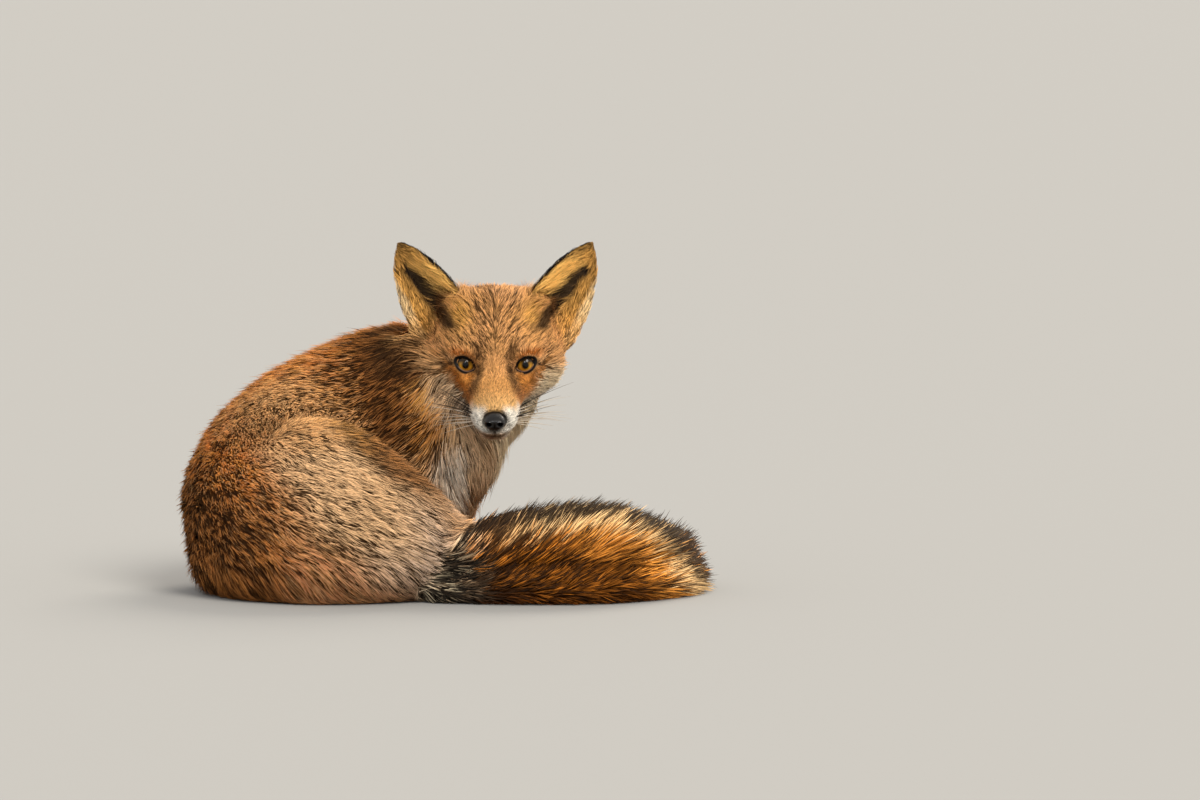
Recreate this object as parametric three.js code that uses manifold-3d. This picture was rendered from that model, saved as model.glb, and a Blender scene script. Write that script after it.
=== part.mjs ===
// A red fox resting curled on the ground, life size, head up and looking out over its own rump.
// Millimetres, +Z up, +X towards the far end of the brush, -Y the side that the face looks to.
// Every solid reaches to the tips of the coat. Flesh is lofted along paths, then parted with thin gaps.
import * as THREE from "three";
import { mergeVertices } from "three/addons/utils/BufferGeometryUtils.js";
import Module from "manifold-3d";

const wasm = await Module();
wasm.setup();

const vec = (x, y, z) => new THREE.Vector3(x, y, z);

// ---------- driving sizes ----------
const GAP = 0.4; // clearance between neighbouring solids
const FLOOR = 0; // level of the flats that the fox lies on
const eyeSpacing = 50; // between the pupils
const eyeRadius = 8.8;
const gazeOutward = 12; // degrees that each eye turns away from straight ahead
const lidDistance = 10; // from the middle of the eye to the middle of the hollow between the lids
const lidReach = vec(9.4, 8, 7); // half sizes of that hollow: sideways, forward and upward
const noseReach = 84; // from the pupils forward to the front of the nose
const headPitch = 15; // degrees that the nose points below level
const eyePoint = vec(44, 52, 180); // midway between the pupils
const earHeight = 74; // from the root of the ear to its tip
const earWidth = 56;
const earThickness = 3.4;
const earCup = 15; // depth of the hollow of the ear
const earSunk = 0.28; // how far the ear goes on into the head, as a part of its height
const earTop = 0.98; // where its blunt tip is, as a part of its height
const earLevels = 8;
const earSteps = 6; // points across each face of the ear
const forearmLength = 104;
const pawLength = 40;
const wristHeight = 12; // of the middle of the wrist, which rests on the ground
const roundness = 2.15; // of a cross-section: 2 is an ellipse, and more is squarer
const domeSteps = [0.96, 0.66]; // where the rings of an end's dome stand, as parts of its length

// ---------- shape tools ----------

// A geometry lofted through stations { at, wide, high, low, up }: wide is the half width across, high and low
// the reach towards and away from up. The ends are domes of the given lengths, and grow swells it evenly.
function loft(stations, { sides, rings, startDome, endDome }, grow) {
  const spline = (value, kind) => new THREE.CatmullRomCurve3(stations.map(value), false, kind);
  const path = spline((s) => s.at, "centripetal");
  const sizes = spline((s) => vec(s.wide, s.high, s.low), "catmullrom");
  const ups = spline((s) => s.up ?? vec(0, 0, 1), "catmullrom");
  const sections = [];
  const addSection = (t, ahead, shrink) => {
    const along = path.getTangent(t).normalize();
    const across = along.clone().cross(ups.getPoint(t)).normalize();
    const up = across.clone().cross(along);
    const centre = path.getPoint(t).addScaledVector(along, ahead);
    const size = sizes.getPoint(t).addScalar(grow).multiplyScalar(shrink);
    sections.push({ centre, across, up, size });
  };
  for (const s of domeSteps) addSection(0, -(startDome + grow) * s, Math.sqrt(1 - s * s));
  for (let i = 0; i <= rings; i++) addSection(i / rings, 0, 1);
  for (const s of [...domeSteps].reverse()) addSection(1, (endDome + grow) * s, Math.sqrt(1 - s * s));
  const rounded = (v) => Math.sign(v) * Math.abs(v) ** (2 / roundness);
  const points = sections.flatMap(({ centre, across, up, size }) =>
    Array.from({ length: sides }, (_, k) => {
      const a = (2 * Math.PI * k) / sides;
      const height = Math.sin(a) > 0 ? size.y : size.z;
      return centre
        .clone()
        .addScaledVector(across, size.x * rounded(Math.cos(a)))
        .addScaledVector(up, height * rounded(Math.sin(a)));
    })
  );
  return closedSkin(points, sides, sections[0].centre, sections.at(-1).centre);
}

// A closed geometry from equal rings of points, with its two ends fanned to the given centres.
function closedSkin(points, sides, startCentre, endCentre) {
  const rings = points.length / sides;
  const faces = [];
  for (let i = 0; i < rings - 1; i++)
    for (let k = 0; k < sides; k++) {
      const a = i * sides + k;
      const b = i * sides + ((k + 1) % sides);
      faces.push(a, b + sides, b, a, a + sides, b + sides);
    }
  const start = points.length;
  const end = start + 1;
  const last = (rings - 1) * sides;
  for (let k = 0; k < sides; k++) {
    const next = (k + 1) % sides;
    faces.push(start, k, next, end, last + next, last + k);
  }
  return new THREE.BufferGeometry().setFromPoints([...points, startCentre, endCentre]).setIndex(faces);
}

// The manifold solid of a closed geometry, turned the right way out.
function solid(geometry) {
  const bare = geometry.clone();
  bare.deleteAttribute("normal");
  bare.deleteAttribute("uv");
  const merged = mergeVertices(bare, 1e-4);
  const vertProperties = merged.attributes.position.array;
  const triVerts = new Uint32Array(merged.index.array);
  const made = new wasm.Manifold(new wasm.Mesh({ numProp: 3, vertProperties, triVerts }));
  if (made.volume() > 0) return made;
  return new wasm.Manifold(new wasm.Mesh({ numProp: 3, vertProperties, triVerts: triVerts.reverse() }));
}

// A shape as a function of how far it is swelled.
const lofted = (stations, plan) => (grow) => solid(loft(stations, plan, grow));

// The largest single body of a solid, which drops the slivers that a cut leaves.
function largest(shape) {
  return shape.decompose().reduce((best, s) => (s.volume() > best.volume() ? s : best));
}

// Everything ahead of a point along a direction, as one big solid.
function beyond(point, direction) {
  const reach = 900;
  const half = new THREE.BoxGeometry(reach, reach, reach).translate(0, 0, reach / 2);
  const turn = new THREE.Quaternion().setFromUnitVectors(vec(0, 0, 1), direction.clone().normalize());
  return solid(half.applyQuaternion(turn).translate(point.x, point.y, point.z));
}
const aboveFloor = beyond(vec(0, 0, FLOOR), vec(0, 0, 1));

// A loft parted into lengths at { at, facing } planes, from its start to its end, with gaps between them.
function lengths(shape, cuts) {
  const ahead = (facing) => facing.clone().setLength(GAP / 2);
  const after = ({ at, facing }) => beyond(at.clone().add(ahead(facing)), facing);
  const before = ({ at, facing }) => after({ at, facing: facing.clone().negate() });
  return [...cuts, null].map((next, i) => {
    const started = i > 0 ? shape.intersect(after(cuts[i - 1])) : shape;
    return largest(next ? started.intersect(before(next)) : started);
  });
}

// The direction that the back faces where the trunk leans over by an angle towards a side.
function lean(degrees, side) {
  const a = THREE.MathUtils.degToRad(degrees);
  return side.clone().normalize().multiplyScalar(Math.sin(a)).add(vec(0, 0, Math.cos(a)));
}

// ---------- the trunk, lying on its left hip at the near side and upright at the shoulders ----------

const trunkStations = [
  { at: vec(0, -40, 42), wide: 34, high: 40, low: 38, up: lean(62, vec(0, -1, 0)) },
  { at: vec(-50, -42, 52), wide: 58, high: 60, low: 56, up: lean(60, vec(-0.2, -1, 0)) },
  { at: vec(-104, -22, 58), wide: 74, high: 72, low: 64, up: lean(54, vec(-0.8, -1, 0)) },
  { at: vec(-136, 30, 68), wide: 82, high: 74, low: 72, up: lean(46, vec(-1, -0.25, 0)) },
  { at: vec(-120, 88, 94), wide: 74, high: 80, low: 98, up: lean(26, vec(-1, 0.5, 0)) },
  { at: vec(-76, 118, 108), wide: 68, high: 91, low: 112, up: lean(12, vec(-0.6, 1, 0)) },
  { at: vec(-26, 118, 116), wide: 61, high: 98, low: 116, up: lean(4, vec(0, 1, 0)) },
  { at: vec(18, 108, 110), wide: 46, high: 58, low: 86, up: vec(0, 0, 1) },
];
const trunk = lofted(trunkStations, { rings: 13, sides: 15, startDome: 24, endDome: 24 });

// ---------- the neck and its ruff ----------

const neckStations = [
  { at: vec(-34, 114, 140), wide: 48, high: 70, low: 70, up: vec(-0.3, 0, 1) },
  { at: vec(0, 110, 146), wide: 50, high: 66, low: 66, up: vec(-0.6, 0, 0.9) },
  { at: vec(28, 106, 162), wide: 49, high: 55, low: 57, up: vec(-0.8, 0.1, 0.6) },
  { at: vec(43, 102, 182), wide: 48, high: 49, low: 53, up: vec(-0.8, 0.2, 0.5) },
];
const neck = lofted(neckStations, { rings: 6, sides: 14, startDome: 16, endDome: 12 });

const breastStations = [
  { at: vec(32, 80, 138), wide: 30, high: 26, low: 26, up: vec(0, -1, 0) },
  { at: vec(21, 72, 108), wide: 34, high: 30, low: 30, up: vec(0, -1, 0) },
  { at: vec(9, 74, 82), wide: 31, high: 28, low: 30, up: vec(0, -1, 0) },
];
const breastFur = lofted(breastStations, { rings: 4, sides: 12, startDome: 14, endDome: 18 });

// ---------- the head, in its own axes: forward to the nose, leftward, and up to the crown ----------

const pitch = THREE.MathUtils.degToRad(headPitch);
const forward = vec(0, -Math.cos(pitch), -Math.sin(pitch));
const crownward = vec(0, -Math.sin(pitch), Math.cos(pitch));
const leftward = vec(1, 0, 0);
const headAxes = new THREE.Matrix4().makeBasis(forward, leftward, crownward).setPosition(eyePoint);
const onHead = (ahead, side, above) => vec(ahead, side, above).applyMatrix4(headAxes);

// Each row: distance ahead of the pupils, height of the widest level, half width, reach up, reach down.
const headRows = [
  [-66, 0, 46, 48, 52],
  [-46, -1, 57, 57, 56],
  [-28, -4, 55, 52, 50],
  [-14, -7, 43, 40, 42],
  [-2, -10, 31.5, 28, 37],
  [12, -14, 25, 20.5, 30],
  [30, -18, 20.5, 16, 25],
  [52, -20, 18, 13.5, 20],
  [68, -19.5, 16, 10.5, 16.5],
  [75, -18.5, 13.5, 8, 13],
];
const headStations = headRows.map(([ahead, level, wide, high, low]) => ({
  at: onHead(ahead, 0, level),
  wide,
  high,
  low,
  up: crownward,
}));
const headShape = lofted(headStations, { rings: 15, sides: 17, startDome: 12, endDome: 5 });

// A ball swelled to reach, placed on the line that the eye looks along, at a distance from the eye's centre.
// side is +1 for the fox's left. reach holds the half sizes sideways, forward and upward.
function eyeLine(side, distance, reach) {
  const a = THREE.MathUtils.degToRad(gazeOutward);
  const gaze = forward.clone().multiplyScalar(Math.cos(a)).addScaledVector(leftward, side * Math.sin(a));
  const centre = onHead(1 - eyeRadius, (side * eyeSpacing) / 2, 0).addScaledVector(gaze, distance);
  const sideways = gaze.clone().cross(crownward);
  const turn = new THREE.Matrix4().makeBasis(sideways, gaze, crownward).setPosition(centre);
  return solid(new THREE.SphereGeometry(1, 11, 7).scale(reach.x, reach.y, reach.z).applyMatrix4(turn));
}
const ball = (side, grow) => eyeLine(side, 0, vec(1, 1, 1).multiplyScalar(eyeRadius + grow));
const eyeLeft = (grow) => ball(1, grow);
const eyeRight = (grow) => ball(-1, grow);
const socketLeft = () => eyeLine(1, lidDistance, lidReach);
const socketRight = () => eyeLine(-1, lidDistance, lidReach);

// The bare nose, a rounded wedge that caps the muzzle.
const noseStations = [
  { at: onHead(noseReach - 14, 0, -17), wide: 9, high: 8, low: 7, up: crownward },
  { at: onHead(noseReach - 6, 0, -17.5), wide: 10.2, high: 7.6, low: 8.4, up: crownward },
];
const nosePad = lofted(noseStations, { rings: 2, sides: 12, startDome: 2, endDome: 6 });

// The lower jaw is what lies under the mouth line, ahead of the corner of the mouth.
function jawRegion(grow) {
  const down = crownward.clone().negate().addScaledVector(forward, 0.06);
  const ahead = forward.clone().addScaledVector(crownward, -0.5);
  return beyond(onHead(40, 0, -31 + grow), down).intersect(beyond(onHead(8 - grow, 0, -40), ahead));
}

// An ear: a cupped leaf of even thickness, from below its root to a narrow tip. side is +1 for the left one.
// At height v, as a part of earHeight, it narrows as 1 - v ^ 2.1 and its hollow grows shallower.
function ear(side, grow) {
  const root = onHead(-42, side * 45, 26);
  const tip = onHead(-50, side * 77, 88);
  const along = tip.clone().sub(root).normalize();
  const inward = onHead(-36, side * 27, 46).sub(onHead(-46, side * 62, 4));
  const across = inward.addScaledVector(along, -inward.dot(along)).normalize();
  const openTo = across.clone().cross(along).multiplyScalar(side);
  if (openTo.dot(forward) < 0) openTo.negate();
  const points = [];
  for (let i = 0; i <= earLevels; i++) {
    const v = THREE.MathUtils.lerp(-earSunk, earTop, i / earLevels);
    const above = Math.max(0, v);
    const width = (earWidth / 2) * (1 - above ** 2.1) ** 0.85;
    const cup = earCup * (1 - 0.75 * above) * Math.min(1, (2.4 * width) / earWidth);
    const centre = root.clone().addScaledVector(along, v * earHeight);
    const leaf = (s, offset) =>
      centre
        .clone()
        .addScaledVector(across, s * (width + grow))
        .addScaledVector(openTo, offset - cup * (1 - s * s));
    const halfThick = earThickness / 2 + grow;
    for (let k = 0; k < earSteps; k++) points.push(leaf(-1 + (2 * k) / (earSteps - 1), halfThick));
    for (let k = 0; k < earSteps; k++) points.push(leaf(1 - (2 * k) / (earSteps - 1), -halfThick));
  }
  const sides = 2 * earSteps;
  const middleOf = (ring) => ring.reduce((sum, p) => sum.add(p), vec(0, 0, 0)).divideScalar(sides);
  return solid(closedSkin(points, sides, middleOf(points.slice(0, sides)), middleOf(points.slice(-sides))));
}

// ---------- the hind legs: right thigh on top, left thigh under the body, feet inside the curl ----------

const haunchStations = [
  { at: vec(8, -44, 44), wide: 27, high: 30, low: 30 },
  { at: vec(-22, -44, 54), wide: 44, high: 47, low: 42 },
  { at: vec(-62, -36, 66), wide: 56, high: 62, low: 50 },
  { at: vec(-104, -16, 84), wide: 52, high: 68, low: 50 },
  { at: vec(-126, 6, 96), wide: 42, high: 54, low: 46 },
];
const haunchRight = lofted(haunchStations, { rings: 7, sides: 15, startDome: 20, endDome: 26 });

const thighLeftStations = [
  { at: vec(14, -22, 24), wide: 20, high: 20, low: 26 },
  { at: vec(-30, -30, 26), wide: 32, high: 26, low: 30 },
  { at: vec(-76, -24, 28), wide: 36, high: 28, low: 32 },
];
const thighLeft = lofted(thighLeftStations, { rings: 3, sides: 11, startDome: 14, endDome: 18 });

const hindFootStations = (hock, toes, lift) => {
  const at = (t, rise) => hock.clone().lerp(toes, t).add(vec(0, 0, rise));
  return [
    { at: at(0, lift), wide: 14, high: 15, low: 17 },
    { at: at(0.45, lift * 0.5), wide: 11.5, high: 12, low: 12 },
    { at: at(0.78, 1), wide: 13.5, high: 12, low: 12 },
    { at: at(1, -1), wide: 12.5, high: 9.5, low: 10 },
  ];
};
const footPlan = { rings: 5, sides: 10, startDome: 12, endDome: 9 };
const hindRight = lofted(hindFootStations(vec(14, 14, 24), vec(84, 26, 8.5), 4), footPlan);
const hindLeft = lofted(hindFootStations(vec(22, -6, 14), vec(92, -2, 11), 0), footPlan);

// ---------- the forelegs: folded under the chest, forearms along the ground ----------

function foreLimb(elbow, heading, spread) {
  const wrist = elbow.clone().addScaledVector(heading, forearmLength).setZ(wristHeight);
  const toes = wrist.clone().addScaledVector(heading, pawLength * 0.8).add(vec(0, spread, -2));
  return { elbow, wrist, toes };
}
const rightFore = foreLimb(vec(-14, 66, 32), vec(1, -0.06, 0).normalize(), 0);
const leftFore = foreLimb(vec(-14, 160, 32), vec(1, -0.46, 0).normalize(), -3);
const forearmStations = ({ elbow, wrist }) => [
  { at: elbow, wide: 20, high: 24, low: 28 },
  { at: elbow.clone().lerp(wrist, 0.45), wide: 17, high: 18, low: 22 },
  { at: wrist, wide: 12.5, high: 12, low: 14 },
];
const pawStations = ({ wrist, toes }) => [
  { at: wrist, wide: 12.5, high: 11, low: 14 },
  { at: wrist.clone().lerp(toes, 0.6), wide: 15, high: 11, low: 14 },
  { at: toes, wide: 13.5, high: 8.5, low: 12 },
];
const forearmPlan = { rings: 3, sides: 10, startDome: 16, endDome: 9 };
const forearmRight = lofted(forearmStations(rightFore), forearmPlan);
const forearmLeft = lofted(forearmStations(leftFore), forearmPlan);
const pawPlan = { rings: 2, sides: 10, startDome: 4, endDome: 9 };
const pawRight = lofted(pawStations(rightFore), pawPlan);
const pawLeft = lofted(pawStations(leftFore), pawPlan);

// An upper arm with its shoulder, from the top of the blade down to the elbow.
const armStations = (top, { elbow }, outwards) => [
  { at: top, wide: 38, high: 24, low: 24, up: outwards },
  { at: top.clone().lerp(elbow, 0.5), wide: 40, high: 31, low: 23, up: outwards },
  { at: elbow.clone().add(vec(0, 0, 8)), wide: 28, high: 20, low: 22, up: outwards },
];
const armPlan = { rings: 3, sides: 11, startDome: 20, endDome: 18 };
const armRight = lofted(armStations(vec(-24, 84, 160), rightFore, vec(0, -1, 0)), armPlan);
const armLeft = lofted(armStations(vec(-38, 158, 150), leftFore, vec(0, 1, 0)), armPlan);

// ---------- the brush, laid along the ground and round in front of the paws ----------

const brushStations = [
  { at: vec(-6, -52, 24), wide: 24, high: 27, low: 30 },
  { at: vec(28, -54, 30), wide: 33, high: 36, low: 36 },
  { at: vec(76, -52, 34), wide: 43, high: 45, low: 42 },
  { at: vec(122, -42, 32), wide: 48, high: 50, low: 42 },
  { at: vec(156, -14, 24), wide: 45, high: 39, low: 36 },
  { at: vec(174, 28, 20), wide: 38, high: 31, low: 30 },
  { at: vec(174, 72, 18), wide: 32, high: 29, low: 26 },
  { at: vec(158, 111, 15), wide: 25, high: 23, low: 22 },
  { at: vec(134, 139, 11), wide: 14, high: 14, low: 14 },
];
const brush = lofted(brushStations, { rings: 16, sides: 13, startDome: 14, endDome: 20 });

// ---------- the parting of the solids ----------

const cut = (shape, ...cutters) => cutters.reduce((rest, cutter) => rest.subtract(cutter(GAP)), shape);
const skull = cut(headShape(0), eyeLeft, eyeRight, socketLeft, socketRight, nosePad);
const limbs = [haunchRight, thighLeft, hindRight, hindLeft, armRight, armLeft, forearmRight, forearmLeft];
const wholeTrunk = cut(trunk(0), neck, breastFur, brush, ...limbs);
const [rump, loin, chest] = lengths(wholeTrunk.intersect(aboveFloor), [
  { at: vec(-128, 2, 70), facing: vec(-0.45, 1, 0) },
  { at: vec(-104, 98, 100), facing: vec(0.8, 0.6, 0) },
]);
const [tailBase, tailMiddle, tailEnd, tailTip] = lengths(cut(brush(0), haunchRight).intersect(aboveFloor), [
  { at: vec(62, -52, 34), facing: vec(1, 0.05, 0) },
  { at: vec(142, -28, 30), facing: vec(0.7, 0.7, 0) },
  { at: vec(176, 66, 20), facing: vec(-0.1, 1, 0) },
]);
const onFloor = (shape) => largest(shape.intersect(aboveFloor));

// ---------- colours and finishes ----------

const coats = {
  russet: { color: 0x96552a, roughness: 0.85 },
  sand: { color: 0xbea082, roughness: 0.85 },
  cream: { color: 0xcfc4b4, roughness: 0.85 },
  tawny: { color: 0xc08a55, roughness: 0.85 },
  dusky: { color: 0x3a2a20, roughness: 0.8 },
  brushHair: { color: 0xb07c44, roughness: 0.85 },
  wetBlack: { color: 0x121010, roughness: 0.3 },
  amber: { color: 0x9a6420, roughness: 0.08 },
};

const pieces = [
  ["head", "tawny", largest(cut(skull, jawRegion))],
  ["jaw", "cream", largest(skull.intersect(jawRegion(0)))],
  ["nose", "wetBlack", nosePad(0)],
  ["ear_left", "dusky", largest(cut(ear(1, 0), headShape, neck))],
  ["ear_right", "dusky", largest(cut(ear(-1, 0), headShape, neck))],
  ["eye_left", "amber", eyeLeft(0)],
  ["eye_right", "amber", eyeRight(0)],
  ["neck", "russet", largest(cut(neck(0), headShape))],
  ["breast", "cream", largest(cut(breastFur(0), headShape, neck))],
  ["chest", "russet", chest],
  ["loin", "russet", loin],
  ["rump", "russet", rump],
  ["haunch_right", "sand", onFloor(haunchRight(0))],
  ["haunch_left", "sand", onFloor(cut(thighLeft(0), haunchRight, brush))],
  ["hindfoot_right", "tawny", onFloor(cut(hindRight(0), haunchRight, thighLeft, brush))],
  ["hindfoot_left", "tawny", onFloor(cut(hindLeft(0), haunchRight, thighLeft, brush, hindRight))],
  ["shoulder_right", "russet", onFloor(cut(armRight(0), neck, breastFur, haunchRight))],
  ["shoulder_left", "russet", onFloor(cut(armLeft(0), neck, breastFur))],
  ["forearm_right", "dusky", onFloor(cut(forearmRight(0), armRight))],
  ["forearm_left", "dusky", onFloor(cut(forearmLeft(0), armLeft))],
  ["forepaw_right", "dusky", onFloor(cut(pawRight(0), forearmRight))],
  ["forepaw_left", "dusky", onFloor(cut(pawLeft(0), forearmLeft))],
  ["tail_base", "brushHair", tailBase],
  ["tail_middle", "brushHair", tailMiddle],
  ["tail_end", "brushHair", tailEnd],
  ["tail_tip", "cream", tailTip],
];

const fox = new THREE.Group();
for (const [name, coat, shape] of pieces) {
  const { vertProperties, triVerts } = shape.getMesh();
  const geometry = new THREE.BufferGeometry();
  geometry.setAttribute("position", new THREE.BufferAttribute(vertProperties, 3));
  geometry.setIndex(new THREE.BufferAttribute(triVerts, 1));
  const mesh = new THREE.Mesh(geometry, new THREE.MeshStandardMaterial({ metalness: 0, ...coats[coat] }));
  mesh.name = name;
  fox.add(mesh);
}

// The origin stands under the middle of the whole animal, at floor level.
const bounds = new THREE.Box3().setFromObject(fox);
const middle = bounds.getCenter(vec(0, 0, 0));
fox.position.set(-middle.x, -middle.y, -bounds.min.z);

export default fox;
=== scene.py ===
"""A red fox lying curled with its head raised, life size: skin, fur, face and stage. Metres, +Z up."""
import math
import bpy
import numpy as np
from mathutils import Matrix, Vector, kdtree
from mathutils.bvhtree import BVHTree


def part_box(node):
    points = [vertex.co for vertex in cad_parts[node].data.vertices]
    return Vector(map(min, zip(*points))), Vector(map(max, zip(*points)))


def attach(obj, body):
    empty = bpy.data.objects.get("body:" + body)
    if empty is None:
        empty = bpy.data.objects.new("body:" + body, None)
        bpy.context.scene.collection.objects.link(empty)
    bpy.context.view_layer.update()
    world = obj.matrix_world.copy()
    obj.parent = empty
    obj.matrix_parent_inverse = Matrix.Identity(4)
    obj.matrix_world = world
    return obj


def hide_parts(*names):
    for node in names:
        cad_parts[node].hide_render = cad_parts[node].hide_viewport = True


bl_info = {
    "name": "Curled red fox",
    "version": (1, 0, 0),
    "blender": (4, 5, 0),
    "location": "View3D > Sidebar > Fox",
    "description": "Builds the skin, coat, face and stage of a life-size curled red fox",
    "category": "Object",
}

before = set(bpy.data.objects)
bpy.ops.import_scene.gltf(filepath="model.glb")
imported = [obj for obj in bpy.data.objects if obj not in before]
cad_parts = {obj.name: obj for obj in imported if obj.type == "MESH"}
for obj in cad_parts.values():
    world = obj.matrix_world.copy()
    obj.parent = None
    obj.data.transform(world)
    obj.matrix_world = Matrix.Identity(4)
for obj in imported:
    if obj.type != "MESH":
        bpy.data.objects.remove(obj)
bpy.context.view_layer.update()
MM = 0.001
UP = np.array([0.0, 0.0, 1.0])

# ---------------------------------------------------------------- landmarks from the frame

GROUPS = {
    "head": ("head", "jaw", "nose", "eye_left", "eye_right"),
    "ears": ("ear_left", "ear_right"),
    "neck": ("neck",),
    "breast": ("breast",),
    "shoulders": ("chest", "shoulder_left", "shoulder_right"),
    "flank": ("loin",),
    "rump": ("rump", "haunch_left"),
    "thigh": ("haunch_right",),
    "forelegs": ("forearm_left", "forearm_right", "forepaw_left", "forepaw_right"),
    "hindfeet": ("hindfoot_left", "hindfoot_right"),
    "tail": ("tail_base", "tail_middle", "tail_end", "tail_tip"),
}
GROUP_NAMES = list(GROUPS)


def middle(*nodes):
    """The centre of the box round some nodes."""
    boxes = [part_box(node) for node in nodes]
    return (np.min([b[0] for b in boxes], 0) + np.max([b[1] for b in boxes], 0)) / 2


HEAD_PITCH = math.radians(15)
FORWARD = np.array([0.0, -math.cos(HEAD_PITCH), -math.sin(HEAD_PITCH)])
LEFTWARD = np.array([1.0, 0.0, 0.0])
CROWNWARD = np.array([0.0, -math.sin(HEAD_PITCH), math.cos(HEAD_PITCH)])
HEAD_AXES = np.stack([FORWARD, LEFTWARD, CROWNWARD])
EYE_BALLS = {1: middle("eye_left"), -1: middle("eye_right")}
EYE_RADIUS = float(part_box("eye_left")[1][2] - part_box("eye_left")[0][2]) / 2
EYE_POINT = (EYE_BALLS[1] + EYE_BALLS[-1]) / 2 + FORWARD * (EYE_RADIUS - 1 * MM)
BODY_PATH = np.array([middle(n) for n in ("head", "neck", "chest", "loin", "rump", "tail_base")])
TAIL_PATH = np.array([middle(n) for n in ("rump", "tail_base", "tail_middle", "tail_end", "tail_tip")])


def on_head(ahead, side, above):
    """A point of the head, in millimetres ahead of the pupils, to the fox's left and towards the crown."""
    return EYE_POINT + MM * (ahead * FORWARD + side * LEFTWARD + above * CROWNWARD)


def head_places(points):
    """The same three measures, in millimetres, of an array of points."""
    return (points - EYE_POINT) @ HEAD_AXES.T / MM


# ---------------------------------------------------------------- small mathematics


def unit(v):
    """Vectors brought to length one."""
    return v / np.maximum(np.linalg.norm(v, axis=-1, keepdims=True), 1e-9)


def ramp(x, low, high):
    """A smooth step from 0 at low to 1 at high."""
    t = np.clip((x - low) / (high - low), 0, 1)
    return t * t * (3 - 2 * t)


def bump(x, centre, reach):
    """A smooth hill of height 1 round a centre."""
    return np.exp(-(((x - centre) / reach) ** 2))


def waves(points, size, seed, octaves=10):
    """Smooth noise between about -1 and 1: a sum of sine waves of random directions and a typical size."""
    rng = np.random.default_rng(seed)
    k = unit(rng.normal(size=(octaves, 3))) * rng.uniform(0.6, 1.5, (octaves, 1)) * 2 * np.pi / size
    phase = rng.uniform(0, 2 * np.pi, octaves)
    return np.sin(points @ k.T + phase).sum(1) * (1.4 / octaves**0.5) / 1.4


def mix(a, b, t):
    """A blend of two colours or arrays of them by a number or an array of them."""
    return a + (b - a) * np.asarray(t)[..., None]


def linear(red, green, blue):
    """A colour on the usual 0 to 255 scale as linear light."""
    c = np.array([red, green, blue]) / 255
    return np.where(c <= 0.04045, c / 12.92, ((c + 0.055) / 1.055) ** 2.4)


def spline(points, samples):
    """A Catmull-Rom curve through points, and its unit tangents."""
    p = np.vstack([2 * points[0] - points[1], points, 2 * points[-1] - points[-2]])
    t = np.linspace(0, len(points) - 1.0001, samples)
    i = t.astype(int)
    u = (t - i)[:, None]
    a, b, c, d = p[i], p[i + 1], p[i + 2], p[i + 3]
    at = 0.5 * (2 * b + (c - a) * u + (2 * a - 5 * b + 4 * c - d) * u**2 + (3 * b - a - 3 * c + d) * u**3)
    way = 0.5 * ((c - a) + 2 * (2 * a - 5 * b + 4 * c - d) * u + 3 * (3 * b - a - 3 * c + d) * u**2)
    return at, unit(way)


# ---------------------------------------------------------------- meshes as arrays


def new_mesh(name, co, faces):
    """A mesh from arrays of places and of faces with equally many corners."""
    mesh = bpy.data.meshes.new(name)
    corners = faces.shape[1]
    mesh.vertices.add(len(co))
    mesh.vertices.foreach_set("co", np.ascontiguousarray(co, np.float32).ravel())
    mesh.loops.add(faces.size)
    mesh.loops.foreach_set("vertex_index", np.ascontiguousarray(faces, np.int32).ravel())
    mesh.polygons.add(len(faces))
    mesh.polygons.foreach_set("loop_start", np.arange(0, faces.size, corners, dtype=np.int32))
    mesh.polygons.foreach_set("use_smooth", np.ones(len(faces), bool))
    mesh.update(calc_edges=True)
    return mesh


def new_piece(name, mesh, material):
    """An object at the origin that rides on the body, with a material."""
    piece = bpy.data.objects.new(name, mesh)
    bpy.context.scene.collection.objects.link(piece)
    mesh.materials.append(material)
    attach(piece, "root")
    return piece


def mesh_arrays(mesh):
    """Places, triangles and edges of a mesh."""
    co = np.empty(len(mesh.vertices) * 3, np.float32)
    mesh.vertices.foreach_get("co", co)
    mesh.calc_loop_triangles()
    tri = np.empty(len(mesh.loop_triangles) * 3, np.int32)
    mesh.loop_triangles.foreach_get("vertices", tri)
    edges = np.empty(len(mesh.edges) * 2, np.int32)
    mesh.edges.foreach_get("vertices", edges)
    return co.reshape(-1, 3).astype(float), tri.reshape(-1, 3), edges.reshape(-1, 2)


def gather(index, values, count):
    """The sum of values at each index, for arrays of one or more columns."""
    if values.ndim == 1:
        return np.bincount(index, values, count)
    return np.stack([np.bincount(index, values[:, k], count) for k in range(values.shape[1])], 1)


def face_normals(co, tri):
    """Normals of triangles, as long as twice their areas."""
    return np.cross(co[tri[:, 1]] - co[tri[:, 0]], co[tri[:, 2]] - co[tri[:, 0]])


def vertex_normals(co, tri):
    """Normals at vertices, weighted by the areas of their triangles."""
    return unit(gather(tri.ravel(), np.repeat(face_normals(co, tri), 3, 0), len(co)))


def neighbour_mean(values, edges):
    """The mean of the neighbours of each vertex."""
    there, back = edges[:, 0], edges[:, 1]
    both = np.concatenate([there, back])
    other = np.concatenate([back, there])
    degree = np.bincount(both, minlength=len(values))
    total = gather(both, values[other], len(values))
    return total / (degree if values.ndim == 1 else degree[:, None])


def spread(values, edges, rounds, share=0.5):
    """Values evened out over a surface, a share of the way to the neighbours' mean in each round."""
    for _ in range(rounds):
        values = values + share * (neighbour_mean(values, edges) - values)
    return values


# ---------------------------------------------------------------- settings


def length_setting(name, description, default):
    """A setting that is a length."""
    return bpy.props.FloatProperty(name=name, description=description, default=default,
                                   subtype="DISTANCE", unit="LENGTH")


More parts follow.
